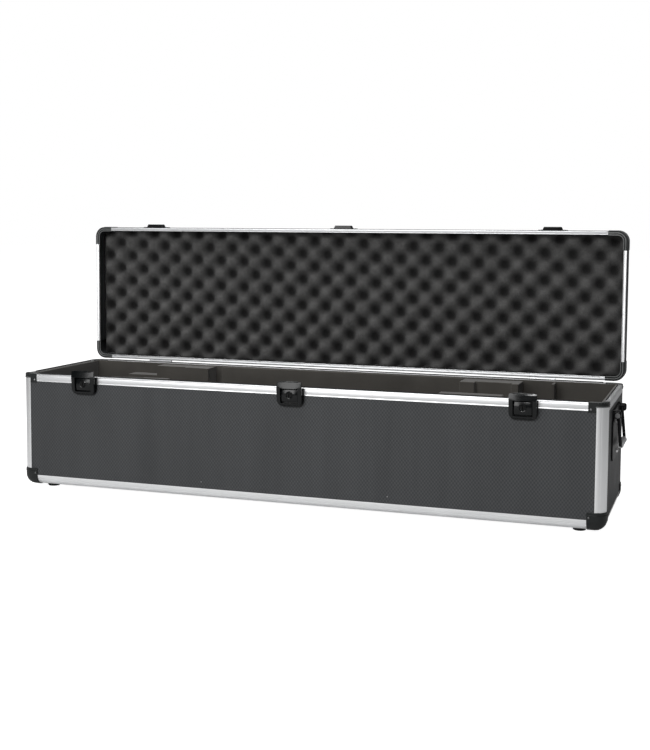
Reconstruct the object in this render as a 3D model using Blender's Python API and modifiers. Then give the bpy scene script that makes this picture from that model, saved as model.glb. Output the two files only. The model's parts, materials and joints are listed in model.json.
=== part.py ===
"""Long transport case for a telescope, standing on its feet with the lid open.

Units are metres, +Z is up, -Y is the front and +X is the right-hand end.
The origin is the centre of the underside of the bottom panel.
"""
import math

import bmesh
import bpy
from mathutils import Matrix, Vector

# Driving dimensions
LENGTH = 1.200            # outside length over the aluminium profiles
DEPTH = 0.300             # outside depth, front to rear
BODY_TOP = 0.2315         # top of the body's rim
PROUD = 0.0005            # profiles stand this far proud of the panels
LID_DEPTH = 0.052         # rim plane to the lid's outer face
PROFILE_RADIUS = 0.020    # outer radius of the rounded profiles
PANEL = 0.004             # laminated panel thickness
GAP = 0.0003              # clearance between touching pieces

# Aluminium profiles
SKIN = 0.002              # wall of the rounded profile
SEAT = 0.0048             # depth of the inner flange behind the outer face
FLANGE = 0.0015           # thickness of the inner flange
ROUND_STEPS = 6           # facets in each quarter round; pieces that nest use the same number
REACH = 0.005             # how far the flange runs behind a panel
JOINT_LENGTH = 0.026      # profiles stop this far from a corner
RIM_HEIGHT = 0.015        # outer face of the body's rim
RIM_WIDTH = 0.0070        # flat contact face of both rims
LIP_HEIGHT = 0.002        # dust lip inside the body's rim
LIP_INSET = 0.0074
LIP_WIDTH = 0.0014

# Corner pieces
CORNER_SHELL = 0.0015     # corner pieces stand this far proud
BODY_CORNER_LEG = 0.034
LID_CORNER_LEG = 0.038
CORNER_WINDOW = 0.0085    # width of the plate over the lid's rim
CORNER_WINDOW_ROUND = 0.0115
BRACKET_FRONT_LEG = 0.0347
BRACKET_SIDE_LEG = 0.0252
BRACKET_PROUD = 0.0008
BRACKET_TAB_BOTTOM = 0.2135
POST_TOP = 0.2227

# Feet
FOOT_HEIGHT = 0.008
FOOT_RADIUS = 0.014
FOOT_FROM_END = 0.050
FOOT_FROM_SIDE = 0.038
FOOT_SEAT = 0.0005        # each foot sits this deep in the bottom panel

# Lid and hinges
HINGE_OFFSET = 0.004      # hinge axis behind the case's rear face
RIM_GAP = 0.0008          # gap between the rims when the lid is shut
HINGE_X = (-0.436, 0.436)
HINGE_WIDTH = 0.054
KNUCKLE_RADIUS = 0.0037
HINGE_PIN_RADIUS = 0.0017
LEAF = 0.0015
LEAF_LENGTH = 0.0145

# Foam
LINING = 0.006
LINING_FLOOR = 0.008
LINING_INSET = 0.0091     # outer face of the lining, from the case's outer face
LINING_TOP = 0.229
PAD_X = (-0.273, 0.278)   # between the cradles the side walls of the lining are thicker
PAD = 0.006               # by this much
FOAM_TOP = 0.2285         # top of the cradles and the divider
CRADLE_LEFT_X = (-0.418, -0.345, -0.288)    # the cradle's two boards
CRADLE_RIGHT_X = (0.2783, 0.400)
SADDLE_Z = 0.158          # centre height of the round slot for the tube
SADDLE_RADIUS = 0.092
SADDLE_STEP = 0.008       # the outer board's slot is this much wider
SHELF_X = -0.490
SHELF_TOP = 0.207
RIGHT_SADDLE_Z = 0.145
RIGHT_SADDLE_RADIUS = 0.078
NOTCH_X = (0.310, 0.385)
NOTCH_DEPTH = 0.012       # the notch is cut this far back from the slot
NOTCH_FLOOR = 0.198
DIVIDER_X = (0.462, 0.468)
DIVIDER_RADIUS = 0.104
LID_FOAM_FRONT = 0.021    # foam crests behind the lid's rim plane
LID_FOAM_ROUND = 0.014

# Latches; "out" sizes are in front of the case's front face
LATCH_X = (-0.450, 0.0, 0.450)
LATCH_NAMES = ("left", "middle", "right")
LATCH_PIVOT_Z = 0.200
LATCH_PIVOT_OUT = 0.0068  # lever axis in front of the case's front face
KEY_Z = 0.217
KEY_RADIUS = 0.005
BASE_HALF = 0.027
BASE_Z = (0.1935, 0.2310)
BASE_OUT = 0.003
BASE_ROUND = 0.014
HOUSING_HALF = 0.0174
HOUSING_Z = (0.204, 0.229)
HOUSING_OUT = 0.0112
LEVER_HALF = 0.0255
LEVER_ROUND = 0.010       # radius of the lever's lower corners
LEVER_BARREL = 0.0034
LEVER_SHOULDER = 0.0425   # heights above the lever's axis
LEVER_CROWN = 0.0446
WINDOW_HALF = 0.018
WINDOW_Z = (0.0015, 0.0302)
KEEPER_HALF = 0.029
KEEPER_PLATE = 0.0185     # height of the plate on the lid's wall
KEEPER_NOSE = 0.0135
KEEPER_OUT = 0.0084

# End handles
HANDLE_PIVOT_Z = 0.197
HANDLE_PIVOT_OUT = 0.0085
HANDLE_HALF_SPAN = 0.040
HANDLE_DROP = 0.059
HANDLE_LEAN = 0.0045      # the grip hangs this far further out than its pivot
ROD_RADIUS = 0.003
ROD_BEND = 0.006
ROD_END = 0.0585
GRIP_RADIUS = 0.0055
GRIP_HALF = 0.0335
PLATE_HALF = 0.072
PLATE_Z = (0.112, 0.190)
PLATE_ROUND = 0.012
PLATE_THICK = 0.0025
STRIP_HALF = 0.0605
STRIP_Z = (0.184, 0.2065)
STRIP_THICK = 0.0035
KNUCKLE_END = 0.060
KNUCKLE_OUT = 0.0152
KNUCKLE_BELOW = 0.0065    # the knuckle block below and above the bail's axis
KNUCKLE_ABOVE = 0.0080
KNUCKLE_ROUND = 0.004

HALF_X = LENGTH / 2
HALF_Y = DEPTH / 2
BASE = -PROUD                                   # lowest line of the bottom profiles
PANEL_EDGE = PROFILE_RADIUS + GAP               # panels start here, from a corner
HINGE_Y = HALF_Y + HINGE_OFFSET
HINGE_Z = BODY_TOP


def clear_scene():
    for obj in list(bpy.data.objects):
        bpy.data.objects.remove(obj, do_unlink=True)


def new_collection(name):
    collection = bpy.data.collections.new(name)
    bpy.context.scene.collection.children.link(collection)
    return collection


def principled(name, colour, roughness, metallic=0.0):
    material = bpy.data.materials.new(name)
    material.use_nodes = True
    shader = material.node_tree.nodes["Principled BSDF"]
    shader.inputs["Base Color"].default_value = (*colour, 1.0)
    shader.inputs["Roughness"].default_value = roughness
    shader.inputs["Metallic"].default_value = metallic
    return material


clear_scene()
CASE = new_collection("telescope_case")
CUTTERS = new_collection("cutters")
ALUMINIUM = ("aluminium", (0.78, 0.79, 0.80), 0.35, 1.0)
LAMINATE = ("laminate", (0.055, 0.058, 0.063), 0.5, 0.0)
BLACK_PLASTIC = ("black_plastic", (0.02, 0.02, 0.022), 0.4, 0.0)
LATCH_BLACK = ("latch_black", (0.012, 0.013, 0.014), 0.18, 0.0)
RUBBER = ("rubber", (0.02, 0.02, 0.02), 0.8, 0.0)
FOAM = ("foam", (0.045, 0.043, 0.040), 0.95, 0.0)
STEEL = ("plated_steel", (0.55, 0.56, 0.57), 0.3, 1.0)
GREY_GRIP = ("grip", (0.32, 0.33, 0.34), 0.6, 0.0)


# Shape builders: each returns a bmesh in the coordinates of its object.

def arc(centre, radius, start, end, steps):
    """Points on an arc, angles in degrees."""
    angles = [math.radians(start + (end - start) * k / steps) for k in range(steps + 1)]
    return [(centre[0] + radius * math.cos(a), centre[1] + radius * math.sin(a)) for a in angles]


def prism(outline, axis, start, end):
    """Extrude a flat outline along X, Y or Z; the outline holds the other two axes."""
    place = {"X": lambda a, b: (start, a, b), "Y": lambda a, b: (a, start, b),
             "Z": lambda a, b: (a, b, start)}
    bm = bmesh.new()
    face = bm.faces.new([bm.verts.new(place[axis](a, b)) for a, b in outline])
    grown = bmesh.ops.extrude_face_region(bm, geom=[face])["geom"]
    moved = [item for item in grown if isinstance(item, bmesh.types.BMVert)]
    direction = {"X": Vector((1, 0, 0)), "Y": Vector((0, 1, 0)), "Z": Vector((0, 0, 1))}[axis]
    bmesh.ops.translate(bm, verts=moved, vec=direction * (end - start))
    bmesh.ops.recalc_face_normals(bm, faces=bm.faces)
    return bm


def block(low, high):
    bm = bmesh.new()
    size = [high[k] - low[k] for k in range(3)]
    centre = [(high[k] + low[k]) / 2 for k in range(3)]
    matrix = Matrix.Translation(centre) @ Matrix.Diagonal((*size, 1.0))
    bmesh.ops.create_cube(bm, size=1.0, matrix=matrix)
    return bm


def rounded_block(low, high, radius, steps, keep_edge=lambda middle: True):
    """A block with the edges that keep_edge accepts rounded."""
    bm = block(low, high)
    chosen = [e for e in bm.edges if keep_edge((e.verts[0].co + e.verts[1].co) / 2)]
    bmesh.ops.bevel(bm, geom=chosen, offset=radius, segments=steps, affect="EDGES", profile=0.5)
    return bm


def cylinder(radius, axis, start, end, centre, sides):
    turn = {"X": Matrix.Rotation(math.pi / 2, 4, "Y"), "Y": Matrix.Rotation(math.pi / 2, 4, "X"),
            "Z": Matrix.Identity(4)}[axis]
    middle = {"X": ((start + end) / 2, centre[0], centre[1]),
              "Y": (centre[0], (start + end) / 2, centre[1]),
              "Z": (centre[0], centre[1], (start + end) / 2)}[axis]
    bm = bmesh.new()
    bmesh.ops.create_cone(bm, cap_ends=True, segments=sides, radius1=radius, radius2=radius,
                          depth=abs(end - start), matrix=Matrix.Translation(middle) @ turn)
    return bm


def rounded_rectangle(half_x, half_y, radius, steps):
    points = []
    for sign_x, sign_y, start in ((1, 1, 0), (-1, 1, 90), (-1, -1, 180), (1, -1, 270)):
        centre = (sign_x * (half_x - radius), sign_y * (half_y - radius))
        points += arc(centre, radius, start, start + 90, steps)
    return points


def swept_ring(profile, half_x, half_y, corner, steps, least_radius=0.001):
    """Sweep a profile of (inset, height) points round a rounded rectangle."""
    bm = bmesh.new()
    rings = []
    for inset, height in profile:
        radius = max(corner - inset, least_radius)
        path = rounded_rectangle(half_x - inset, half_y - inset, radius, steps)
        rings.append([bm.verts.new((x, y, height)) for x, y in path])
    for ring, following in zip(rings, rings[1:] + rings[:1]):
        for k in range(len(ring)):
            after = (k + 1) % len(ring)
            bm.faces.new((ring[k], ring[after], following[after], following[k]))
    bmesh.ops.recalc_face_normals(bm, faces=bm.faces)
    return bm


# Object makers

def add(name, bm, finish, parent=None, location=(0, 0, 0), smooth=False):
    """Make a bmesh into one part of the case, with a material of its own."""
    mesh = bpy.data.meshes.new(name)
    bm.to_mesh(mesh)
    bm.free()
    mesh.materials.append(principled(name + "_" + finish[0], *finish[1:]))
    if smooth:
        mesh.shade_smooth()
        mesh.set_sharp_from_angle(angle=math.radians(35))
    obj = bpy.data.objects.new(name, mesh)
    CASE.objects.link(obj)
    obj.parent = parent
    obj.location = location
    return obj


def cutter(name, bm, parent=None, location=(0, 0, 0)):
    mesh = bpy.data.meshes.new(name)
    bm.to_mesh(mesh)
    bm.free()
    obj = bpy.data.objects.new(name, mesh)
    CUTTERS.objects.link(obj)
    obj.parent = parent
    obj.location = location
    obj.hide_render = True
    obj.display_type = "WIRE"
    return obj


def combine(target, tool, operation):
    modifier = target.modifiers.new(operation.lower(), "BOOLEAN")
    modifier.operation = operation
    modifier.solver = "EXACT"
    modifier.object = tool


def empty(name, location, rotation=(0, 0, 0)):
    obj = bpy.data.objects.new(name, None)
    CASE.objects.link(obj)
    obj.location = location
    obj.rotation_euler = rotation
    return obj


def mirrored(bm, signs, origin=(0, 0, 0)):
    """A copy of a corner shape, laid out from the corner at origin; signs say which way each axis runs."""
    copy = bm.copy()
    for vert in copy.verts:
        vert.co = [origin[k] - signs[k] * vert.co[k] for k in range(3)]
    if signs[0] * signs[1] * signs[2] > 0:
        bmesh.ops.reverse_faces(copy, faces=copy.faces)
    return copy


CORNERS = [(side, face, x, y) for face, y in (("front", -1), ("rear", 1))
           for side, x in (("left", -1), ("right", 1))]


# Body

def foot_place(sign_x, sign_y):
    return (sign_x * (HALF_X - FOOT_FROM_END), sign_y * (HALF_Y - FOOT_FROM_SIDE))


def rounded_profile():
    """Corner profile: a quarter round outside, with a flange behind each panel."""
    centre = (PROFILE_RADIUS, PROFILE_RADIUS)
    back = SEAT + FLANGE
    reach = PROFILE_RADIUS + REACH
    inner = PROFILE_RADIUS - SKIN
    lean = math.degrees(math.asin((PROFILE_RADIUS - back) / inner))
    outline = arc(centre, PROFILE_RADIUS, 180, 270, ROUND_STEPS)
    outline += [(PROFILE_RADIUS, SEAT), (reach, SEAT), (reach, back)]
    outline += arc(centre, inner, 180 + lean, 270 - lean, 2)
    outline += [(back, reach), (SEAT, reach), (SEAT, PROFILE_RADIUS)]
    return outline


def laid_out(outline, signs, origin):
    return [(origin[0] - signs[0] * a, origin[1] - signs[1] * b) for a, b in outline]


def build_panels():
    inner_x = HALF_X - PANEL_EDGE
    inner_y = HALF_Y - PANEL_EDGE
    low = BASE + PANEL_EDGE
    high = BODY_TOP - RIM_HEIGHT - GAP
    for name, side in (("front_panel", -1), ("rear_panel", 1)):
        faces = sorted((side * (HALF_Y - PROUD), side * (HALF_Y - PROUD - PANEL)))
        add(name, block((-inner_x, faces[0], low), (inner_x, faces[1], high)), LAMINATE)
    for name, side in (("left_end_panel", -1), ("right_end_panel", 1)):
        faces = sorted((side * (HALF_X - PROUD), side * (HALF_X - PROUD - PANEL)))
        add(name, block((faces[0], -inner_y, low), (faces[1], inner_y, high)), LAMINATE)
    bottom = add("bottom_panel", block((-inner_x, -inner_y, 0), (inner_x, inner_y, PANEL)), LAMINATE)
    for side, face, sign_x, sign_y in CORNERS:
        seat = cylinder(FOOT_RADIUS + 2 * GAP, "Z", -FOOT_SEAT, FOOT_SEAT, foot_place(sign_x, sign_y), 24)
        combine(bottom, cutter(f"foot_seat_{face}_{side}", seat), "DIFFERENCE")


def build_posts_and_bottom_rails():
    profile = rounded_profile()
    for side, face, sign_x, sign_y in CORNERS:
        outline = laid_out(profile, (sign_x, sign_y), (sign_x * HALF_X, sign_y * HALF_Y))
        bm = prism(outline, "Z", BASE + JOINT_LENGTH, POST_TOP)
        add(f"corner_post_{face}_{side}", bm, ALUMINIUM, smooth=True)
    for name, sign in (("front", -1), ("rear", 1)):
        outline = laid_out(profile, (sign, -1), (sign * HALF_Y, BASE))
        bm = prism(outline, "X", -HALF_X + JOINT_LENGTH, HALF_X - JOINT_LENGTH)
        add(f"bottom_rail_{name}", bm, ALUMINIUM, smooth=True)
    for name, sign in (("left", -1), ("right", 1)):
        outline = laid_out(profile, (sign, -1), (sign * HALF_X, BASE))
        bm = prism(outline, "Y", -HALF_Y + JOINT_LENGTH, HALF_Y - JOINT_LENGTH)
        add(f"bottom_rail_{name}", bm, ALUMINIUM, smooth=True)


def rim_profile():
    """Closing profile: outer face, flat contact face and a flange behind the panel."""
    ease = 0.0006
    inner = LIP_INSET + LIP_WIDTH
    foot = -RIM_HEIGHT - REACH
    outline = [(0, -RIM_HEIGHT), (0, -ease), (ease, 0), (inner, 0)]
    return outline + [(inner, foot), (SEAT, foot), (SEAT, -RIM_HEIGHT)]


def lip_profile():
    """Dust lip, rooted in the closing profile."""
    inner = LIP_INSET + LIP_WIDTH - GAP
    return [(LIP_INSET, -LIP_HEIGHT), (LIP_INSET, LIP_HEIGHT), (inner, LIP_HEIGHT), (inner, -LIP_HEIGHT)]


def build_rim():
    """Four rails; the lip stops short of the lid's corner covers."""
    for name, axis, sign in (("front", "X", -1), ("rear", "X", 1), ("left", "Y", -1), ("right", "Y", 1)):
        far = HALF_Y if axis == "X" else HALF_X
        half = HALF_X if axis == "X" else HALF_Y
        run = half - GAP - (BRACKET_FRONT_LEG if axis == "X" else BRACKET_SIDE_LEG)
        lip_run = half - LID_CORNER_LEG - 4 * GAP
        rail_outline = laid_out(rim_profile(), (sign, -1), (sign * far, BODY_TOP))
        lip_outline = laid_out(lip_profile(), (sign, -1), (sign * far, BODY_TOP))
        rail = add(f"rim_rail_{name}", prism(rail_outline, axis, -run, run), ALUMINIUM)
        combine(rail, cutter(f"rim_lip_{name}", prism(lip_outline, axis, -lip_run, lip_run)), "UNION")


def build_top_brackets():
    """Black brackets that close the rim's corners and cover the post's top end."""
    top = BODY_TOP + 0.0004
    bottom = POST_TOP + GAP
    inset = LIP_INSET + LIP_WIDTH
    centre = (PROFILE_RADIUS, PROFILE_RADIUS)
    outline = [(-BRACKET_PROUD, BRACKET_SIDE_LEG)]
    outline += arc(centre, PROFILE_RADIUS + BRACKET_PROUD, 180, 270, ROUND_STEPS)
    outline += [(BRACKET_FRONT_LEG, -BRACKET_PROUD), (BRACKET_FRONT_LEG, inset), (inset, inset),
                (inset, BRACKET_SIDE_LEG)]
    for side, face, sign_x, sign_y in CORNERS:
        origin = (sign_x * HALF_X, sign_y * HALF_Y, 0)
        ring = prism(outline, "Z", bottom, top)
        tab = block((PANEL_EDGE, -BRACKET_PROUD, BRACKET_TAB_BOTTOM),
                    (BRACKET_FRONT_LEG, PROUD - GAP, bottom + 0.001))
        flip = (sign_x, sign_y, -1)
        bracket = add(f"top_bracket_{face}_{side}", mirrored(ring, flip, origin), BLACK_PLASTIC, smooth=True)
        combine(bracket, cutter(f"tab_{face}_{side}", mirrored(tab, flip, origin)), "UNION")
        ring.free()
        tab.free()


def corner_shell(leg, height, rim_plate=None):
    """Corner cover, laid out from its corner: a thin rounded shell. Without a rim_plate it is a ball
    corner; with one it ends flat at the rim and carries a plate of that thickness over the rim."""
    far = 0.12
    margin = 0.01
    outer_low = -CORNER_SHELL
    outer_round = PROFILE_RADIUS + CORNER_SHELL
    inner_round = PROFILE_RADIUS + GAP
    if rim_plate is None:
        outer = rounded_block((outer_low,) * 3, (far,) * 3, outer_round, ROUND_STEPS)
        inner = rounded_block((-GAP,) * 3, (far,) * 3, inner_round, ROUND_STEPS)
        clip = block((outer_low - margin,) * 3, (leg,) * 3)
    else:
        def above_rim(middle):
            return middle.z > 0.001

        outer = rounded_block((outer_low, outer_low, 0), (far, far, height + CORNER_SHELL), outer_round,
                              ROUND_STEPS, above_rim)
        inner = rounded_block((-GAP, -GAP, -far), (far, far, height + GAP), inner_round, ROUND_STEPS,
                              lambda middle: middle.z > -far / 2 or middle.x + middle.y < far / 2)
        clip = block((outer_low - margin, outer_low - margin, -margin), (leg, leg, height + margin))
    shell = add("corner_work", outer, BLACK_PLASTIC)
    inner_cutter = cutter("corner_inner", inner)
    tools = [cutter("corner_clip", clip), inner_cutter]
    combine(shell, tools[0], "INTERSECT")
    combine(shell, inner_cutter, "DIFFERENCE")
    if rim_plate is not None:
        below_plate = block((-margin, -margin, -2 * far), (2 * far, 2 * far, rim_plate))
        tools.append(cutter("corner_below_plate", below_plate))
        combine(inner_cutter, tools[-1], "DIFFERENCE")
        window = rounded_block((CORNER_WINDOW, CORNER_WINDOW, -margin), (far, far, margin),
                               CORNER_WINDOW_ROUND, ROUND_STEPS,
                               lambda middle: abs(middle.z) < 0.001 and middle.x + middle.y < far / 2)
        tools.append(cutter("corner_window", window))
        combine(shell, tools[-1], "DIFFERENCE")
    graph = bpy.context.evaluated_depsgraph_get()
    finished = bmesh.new()
    finished.from_object(shell, graph)
    for obj in tools + [shell]:
        bpy.data.objects.remove(obj, do_unlink=True)
    return finished


def build_bottom_corners():
    shell = corner_shell(BODY_CORNER_LEG, BODY_CORNER_LEG)
    for side, face, sign_x, sign_y in CORNERS:
        origin = (sign_x * HALF_X, sign_y * HALF_Y, BASE)
        cover = mirrored(shell, (sign_x, sign_y, -1), origin)
        add(f"bottom_corner_{face}_{side}", cover, BLACK_PLASTIC, smooth=True)
    shell.free()


def build_feet():
    """Turned rubber feet, seated in the underside of the bottom panel."""
    top = FOOT_SEAT - GAP
    profile = [(0, top), (FOOT_RADIUS, top), (FOOT_RADIUS, -0.45 * FOOT_HEIGHT),
               (0.86 * FOOT_RADIUS, -0.85 * FOOT_HEIGHT), (0.68 * FOOT_RADIUS, -FOOT_HEIGHT),
               (0, -FOOT_HEIGHT)]
    for side, face, sign_x, sign_y in CORNERS:
        bm = bmesh.new()
        verts = [bm.verts.new((radius, 0, height)) for radius, height in profile]
        for first, second in zip(verts, verts[1:]):
            bm.edges.new((first, second))
        foot = add(f"foot_{face}_{side}", bm, RUBBER, location=(*foot_place(sign_x, sign_y), 0))
        screw = foot.modifiers.new("turn", "SCREW")
        screw.steps = 24
        screw.render_steps = 24
        screw.use_merge_vertices = True
        screw.merge_threshold = 0.0001
        screw.use_smooth_shade = True


# Foam inside the body

def saddle_outline(half_width, bottom, top, centre_z, radius):
    """A foam board's end view with a round-bottomed slot for the telescope tube."""
    outline = [(-half_width, top), (-half_width, bottom), (half_width, bottom), (half_width, top)]
    outline += [(radius, top)] + arc((0, centre_z), radius, 0, -180, 14)
    return outline + [(-radius, top)]


def build_foam():
    outer_x = HALF_X - LINING_INSET
    outer_y = HALF_Y - LINING_INSET
    floor = SEAT + FLANGE + GAP
    bottom = floor + LINING_FLOOR
    half = outer_y - LINING
    end = outer_x - LINING
    tub = add("foam_lining", block((-outer_x, -outer_y, floor), (outer_x, outer_y, LINING_TOP)), FOAM)
    above = LINING_TOP + LINING
    hollows = {"left": (-end, PAD_X[0], half), "right": (PAD_X[1], end, half),
               "middle": (PAD_X[0] - LINING, PAD_X[1] + LINING, half - PAD)}
    for name, (start, stop, reach) in hollows.items():
        hollow = block((start, -reach, bottom), (stop, reach, above))
        combine(tub, cutter(f"lining_hollow_{name}", hollow), "DIFFERENCE")
    half -= GAP
    bottom += GAP
    start, step, stop = CRADLE_LEFT_X
    inner = saddle_outline(half, bottom, FOAM_TOP, SADDLE_Z, SADDLE_RADIUS)
    outer = saddle_outline(half, bottom, FOAM_TOP, SADDLE_Z, SADDLE_RADIUS + SADDLE_STEP)
    shelf = saddle_outline(half, bottom, SHELF_TOP, SADDLE_Z, SADDLE_RADIUS + SADDLE_STEP)
    left = add("cradle_left", prism(inner, "X", step, stop), FOAM)
    combine(left, cutter("cradle_left_outer", prism(outer, "X", start, step + 0.001)), "UNION")
    combine(left, cutter("cradle_left_shelf", prism(shelf, "X", SHELF_X, start + 0.001)), "UNION")
    outline = saddle_outline(half, bottom, FOAM_TOP, RIGHT_SADDLE_Z, RIGHT_SADDLE_RADIUS)
    right = add("cradle_right", prism(outline, "X", *CRADLE_RIGHT_X), FOAM)
    notch = block((NOTCH_X[0], 0, NOTCH_FLOOR), (NOTCH_X[1], RIGHT_SADDLE_RADIUS + NOTCH_DEPTH, above))
    combine(right, cutter("cradle_right_notch", notch), "DIFFERENCE")
    outline = saddle_outline(half, bottom, FOAM_TOP, SADDLE_Z, DIVIDER_RADIUS)
    add("accessory_divider", prism(outline, "X", *DIVIDER_X), FOAM)


# Lid: everything is laid out as if the lid were shut, from the hinge axis, and turned open by its parent.

def lid_y(y):
    return y - HINGE_Y


def lid_z(height):
    """Height above the lid's rim plane, from the hinge axis."""
    return RIM_GAP + height


def lid_profile():
    centre = (PROFILE_RADIUS, LID_DEPTH - PROFILE_RADIUS)
    panel_back = LID_DEPTH - SEAT
    flange_back = panel_back - FLANGE
    inner = PROFILE_RADIUS - SKIN
    lean = math.degrees(math.asin((flange_back - centre[1]) / inner))
    outline = [(0, 0)]
    outline += arc(centre, PROFILE_RADIUS, 180, 90, ROUND_STEPS)
    outline += [(PROFILE_RADIUS, panel_back), (PROFILE_RADIUS + REACH, panel_back),
                (PROFILE_RADIUS + REACH, flange_back)]
    outline += arc(centre, inner, 180 - lean, 180, 4)
    outline += [(SKIN, 0.0025), (RIM_WIDTH, 0.0025), (RIM_WIDTH, 0)]
    return [(inset, lid_z(height)) for inset, height in outline]


def build_lid(hinge):
    centre_y = lid_y(0)
    ring = swept_ring(lid_profile(), HALF_X, HALF_Y, PROFILE_RADIUS, ROUND_STEPS)
    bmesh.ops.translate(ring, verts=ring.verts, vec=(0, centre_y, 0))
    frame = add("lid_frame", ring, ALUMINIUM, parent=hinge, smooth=True)
    reach = LID_CORNER_LEG + GAP
    shell = corner_shell(LID_CORNER_LEG, LID_DEPTH, CORNER_SHELL)
    for side, face, sign_x, sign_y in CORNERS:
        corner = Vector((sign_x * HALF_X, centre_y + sign_y * HALF_Y, lid_z(0)))
        relief = block((-0.01, -0.01, -0.01), (reach, reach, CORNER_SHELL + GAP))
        relief = mirrored(relief, (sign_x, sign_y, -1), corner)
        combine(frame, cutter(f"lid_relief_{face}_{side}", relief, parent=hinge), "DIFFERENCE")
        cover = mirrored(shell, (sign_x, sign_y, -1), corner)
        add(f"lid_corner_{face}_{side}", cover, BLACK_PLASTIC, parent=hinge, smooth=True)
    shell.free()
    half_x = HALF_X - PANEL_EDGE
    half_y = HALF_Y - PANEL_EDGE
    panel_top = lid_z(LID_DEPTH - PROUD)
    panel = block((-half_x, centre_y - half_y, panel_top - PANEL), (half_x, centre_y + half_y, panel_top))
    add("lid_panel", panel, LAMINATE, parent=hinge)
    inset = 2 * SKIN
    top = lid_z(LID_DEPTH - SEAT - FLANGE - GAP)
    bottom = lid_z(LID_FOAM_FRONT)
    foam = rounded_block((-HALF_X + inset, centre_y - HALF_Y + inset, bottom),
                         (HALF_X - inset, centre_y + HALF_Y - inset, top), LID_FOAM_ROUND, 3,
                         lambda middle: middle.z > bottom + 0.001)
    add("lid_foam", foam, FOAM, parent=hinge)


def build_keepers(hinge):
    """Catch plates on the lid's front face, one for each latch."""
    wall = lid_y(-HALF_Y)
    low = lid_z(0.0012)
    back = wall - 0.002
    front = wall - KEEPER_OUT
    half = 0.6 * KEEPER_HALF
    for name, x in zip(LATCH_NAMES, LATCH_X):
        plate = block((x - KEEPER_HALF, wall - 0.0023, low),
                      (x + KEEPER_HALF, wall - GAP, low + KEEPER_PLATE))
        keeper = add(f"lid_keeper_{name}", plate, LATCH_BLACK, parent=hinge)
        outline = [(x - half - 0.003, back), (x - half, front), (x + half, front), (x + half + 0.003, back)]
        nose = prism(outline, "Z", low, low + KEEPER_NOSE)
        combine(keeper, cutter(f"keeper_nose_{name}", nose, parent=hinge), "UNION")


def build_hinges(hinge):
    half = HINGE_WIDTH / 2
    middle = HINGE_WIDTH / 4
    inner = KNUCKLE_RADIUS - LEAF
    for name, x in zip(("left", "right"), HINGE_X):
        plate = block((x - half, HINGE_Y - KNUCKLE_RADIUS, HINGE_Z - LEAF_LENGTH),
                      (x + half, HINGE_Y - inner, HINGE_Z))
        body_leaf = add(f"hinge_body_leaf_{name}", plate, STEEL, smooth=True)
        clear = cylinder(KNUCKLE_RADIUS + GAP, "X", x - middle - GAP, x + middle + GAP,
                         (HINGE_Y, HINGE_Z), 24)
        combine(body_leaf, cutter(f"body_leaf_clear_{name}", clear), "DIFFERENCE")
        for part, start, end in (("a", x - half, x - middle - GAP), ("b", x + middle + GAP, x + half)):
            knuckle = cylinder(KNUCKLE_RADIUS, "X", start, end, (HINGE_Y, HINGE_Z), 24)
            combine(body_leaf, cutter(f"knuckle_{part}_{name}", knuckle), "UNION")
        pin = cylinder(HINGE_PIN_RADIUS, "X", x - half + 0.001, x + half - 0.001, (HINGE_Y, HINGE_Z), 16)
        combine(body_leaf, cutter(f"hinge_pin_{name}", pin), "UNION")

        plate = block((x - half, -KNUCKLE_RADIUS, 0), (x + half, -inner, LEAF_LENGTH + 0.004))
        lid_leaf = add(f"hinge_lid_leaf_{name}", plate, STEEL, parent=hinge, smooth=True)
        for part, start, end in (("a", x - half - 0.001, x - middle), ("b", x + middle, x + half + 0.001)):
            clear = cylinder(KNUCKLE_RADIUS + GAP, "X", start, end, (0, 0), 24)
            combine(lid_leaf, cutter(f"lid_leaf_clear_{part}_{name}", clear, parent=hinge), "DIFFERENCE")
        knuckle = cylinder(KNUCKLE_RADIUS, "X", x - middle, x + middle, (0, 0), 24)
        combine(lid_leaf, cutter(f"lid_knuckle_{name}", knuckle, parent=hinge), "UNION")
        bore = cylinder(HINGE_PIN_RADIUS + GAP, "X", x - half, x + half, (0, 0), 16)
        combine(lid_leaf, cutter(f"lid_knuckle_bore_{name}", bore, parent=hinge), "DIFFERENCE")


# Latches

def latch_base_outline(x):
    low, high = BASE_Z
    left = x - BASE_HALF
    right = x + BASE_HALF
    outline = [(left, high)]
    outline += arc((left + BASE_ROUND, low + BASE_ROUND), BASE_ROUND, 180, 270, 6)
    outline += arc((right - BASE_ROUND, low + BASE_ROUND), BASE_ROUND, 270, 360, 6)
    return outline + [(right, high)]


def lever_side_outline():
    """Lever seen from its end, as (out, height) from the pivot: barrel, front face, flap and back."""
    outline = arc((0, 0), LEVER_BARREL, 180, 330, 6)
    outline += [(0.0054, 0.0055), (0.0054, 0.0405), (0.0048, 0.0436), (0.0036, 0.0445), (0.0024, 0.0440)]
    return outline + [(0.0024, 0.0322), (0.0006, 0.0303), (-LEVER_BARREL, 0.0303)]


def lever_front_outline():
    """Lever seen from the front: rounded lower corners and an arched top."""
    low = -LEVER_BARREL
    outline = arc((LEVER_ROUND - LEVER_HALF, low + LEVER_ROUND), LEVER_ROUND, 180, 270, 5)
    outline += arc((LEVER_HALF - LEVER_ROUND, low + LEVER_ROUND), LEVER_ROUND, 270, 360, 5)
    outline += [(LEVER_HALF, LEVER_SHOULDER)]
    rise = LEVER_CROWN - LEVER_SHOULDER
    crown = [(math.cos(a), math.sin(a)) for a in (math.pi * (k + 1) / 12 for k in range(11))]
    outline += [(0.93 * LEVER_HALF * x, LEVER_SHOULDER + rise * y) for x, y in crown]
    return outline + [(-LEVER_HALF, LEVER_SHOULDER)]


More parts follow.
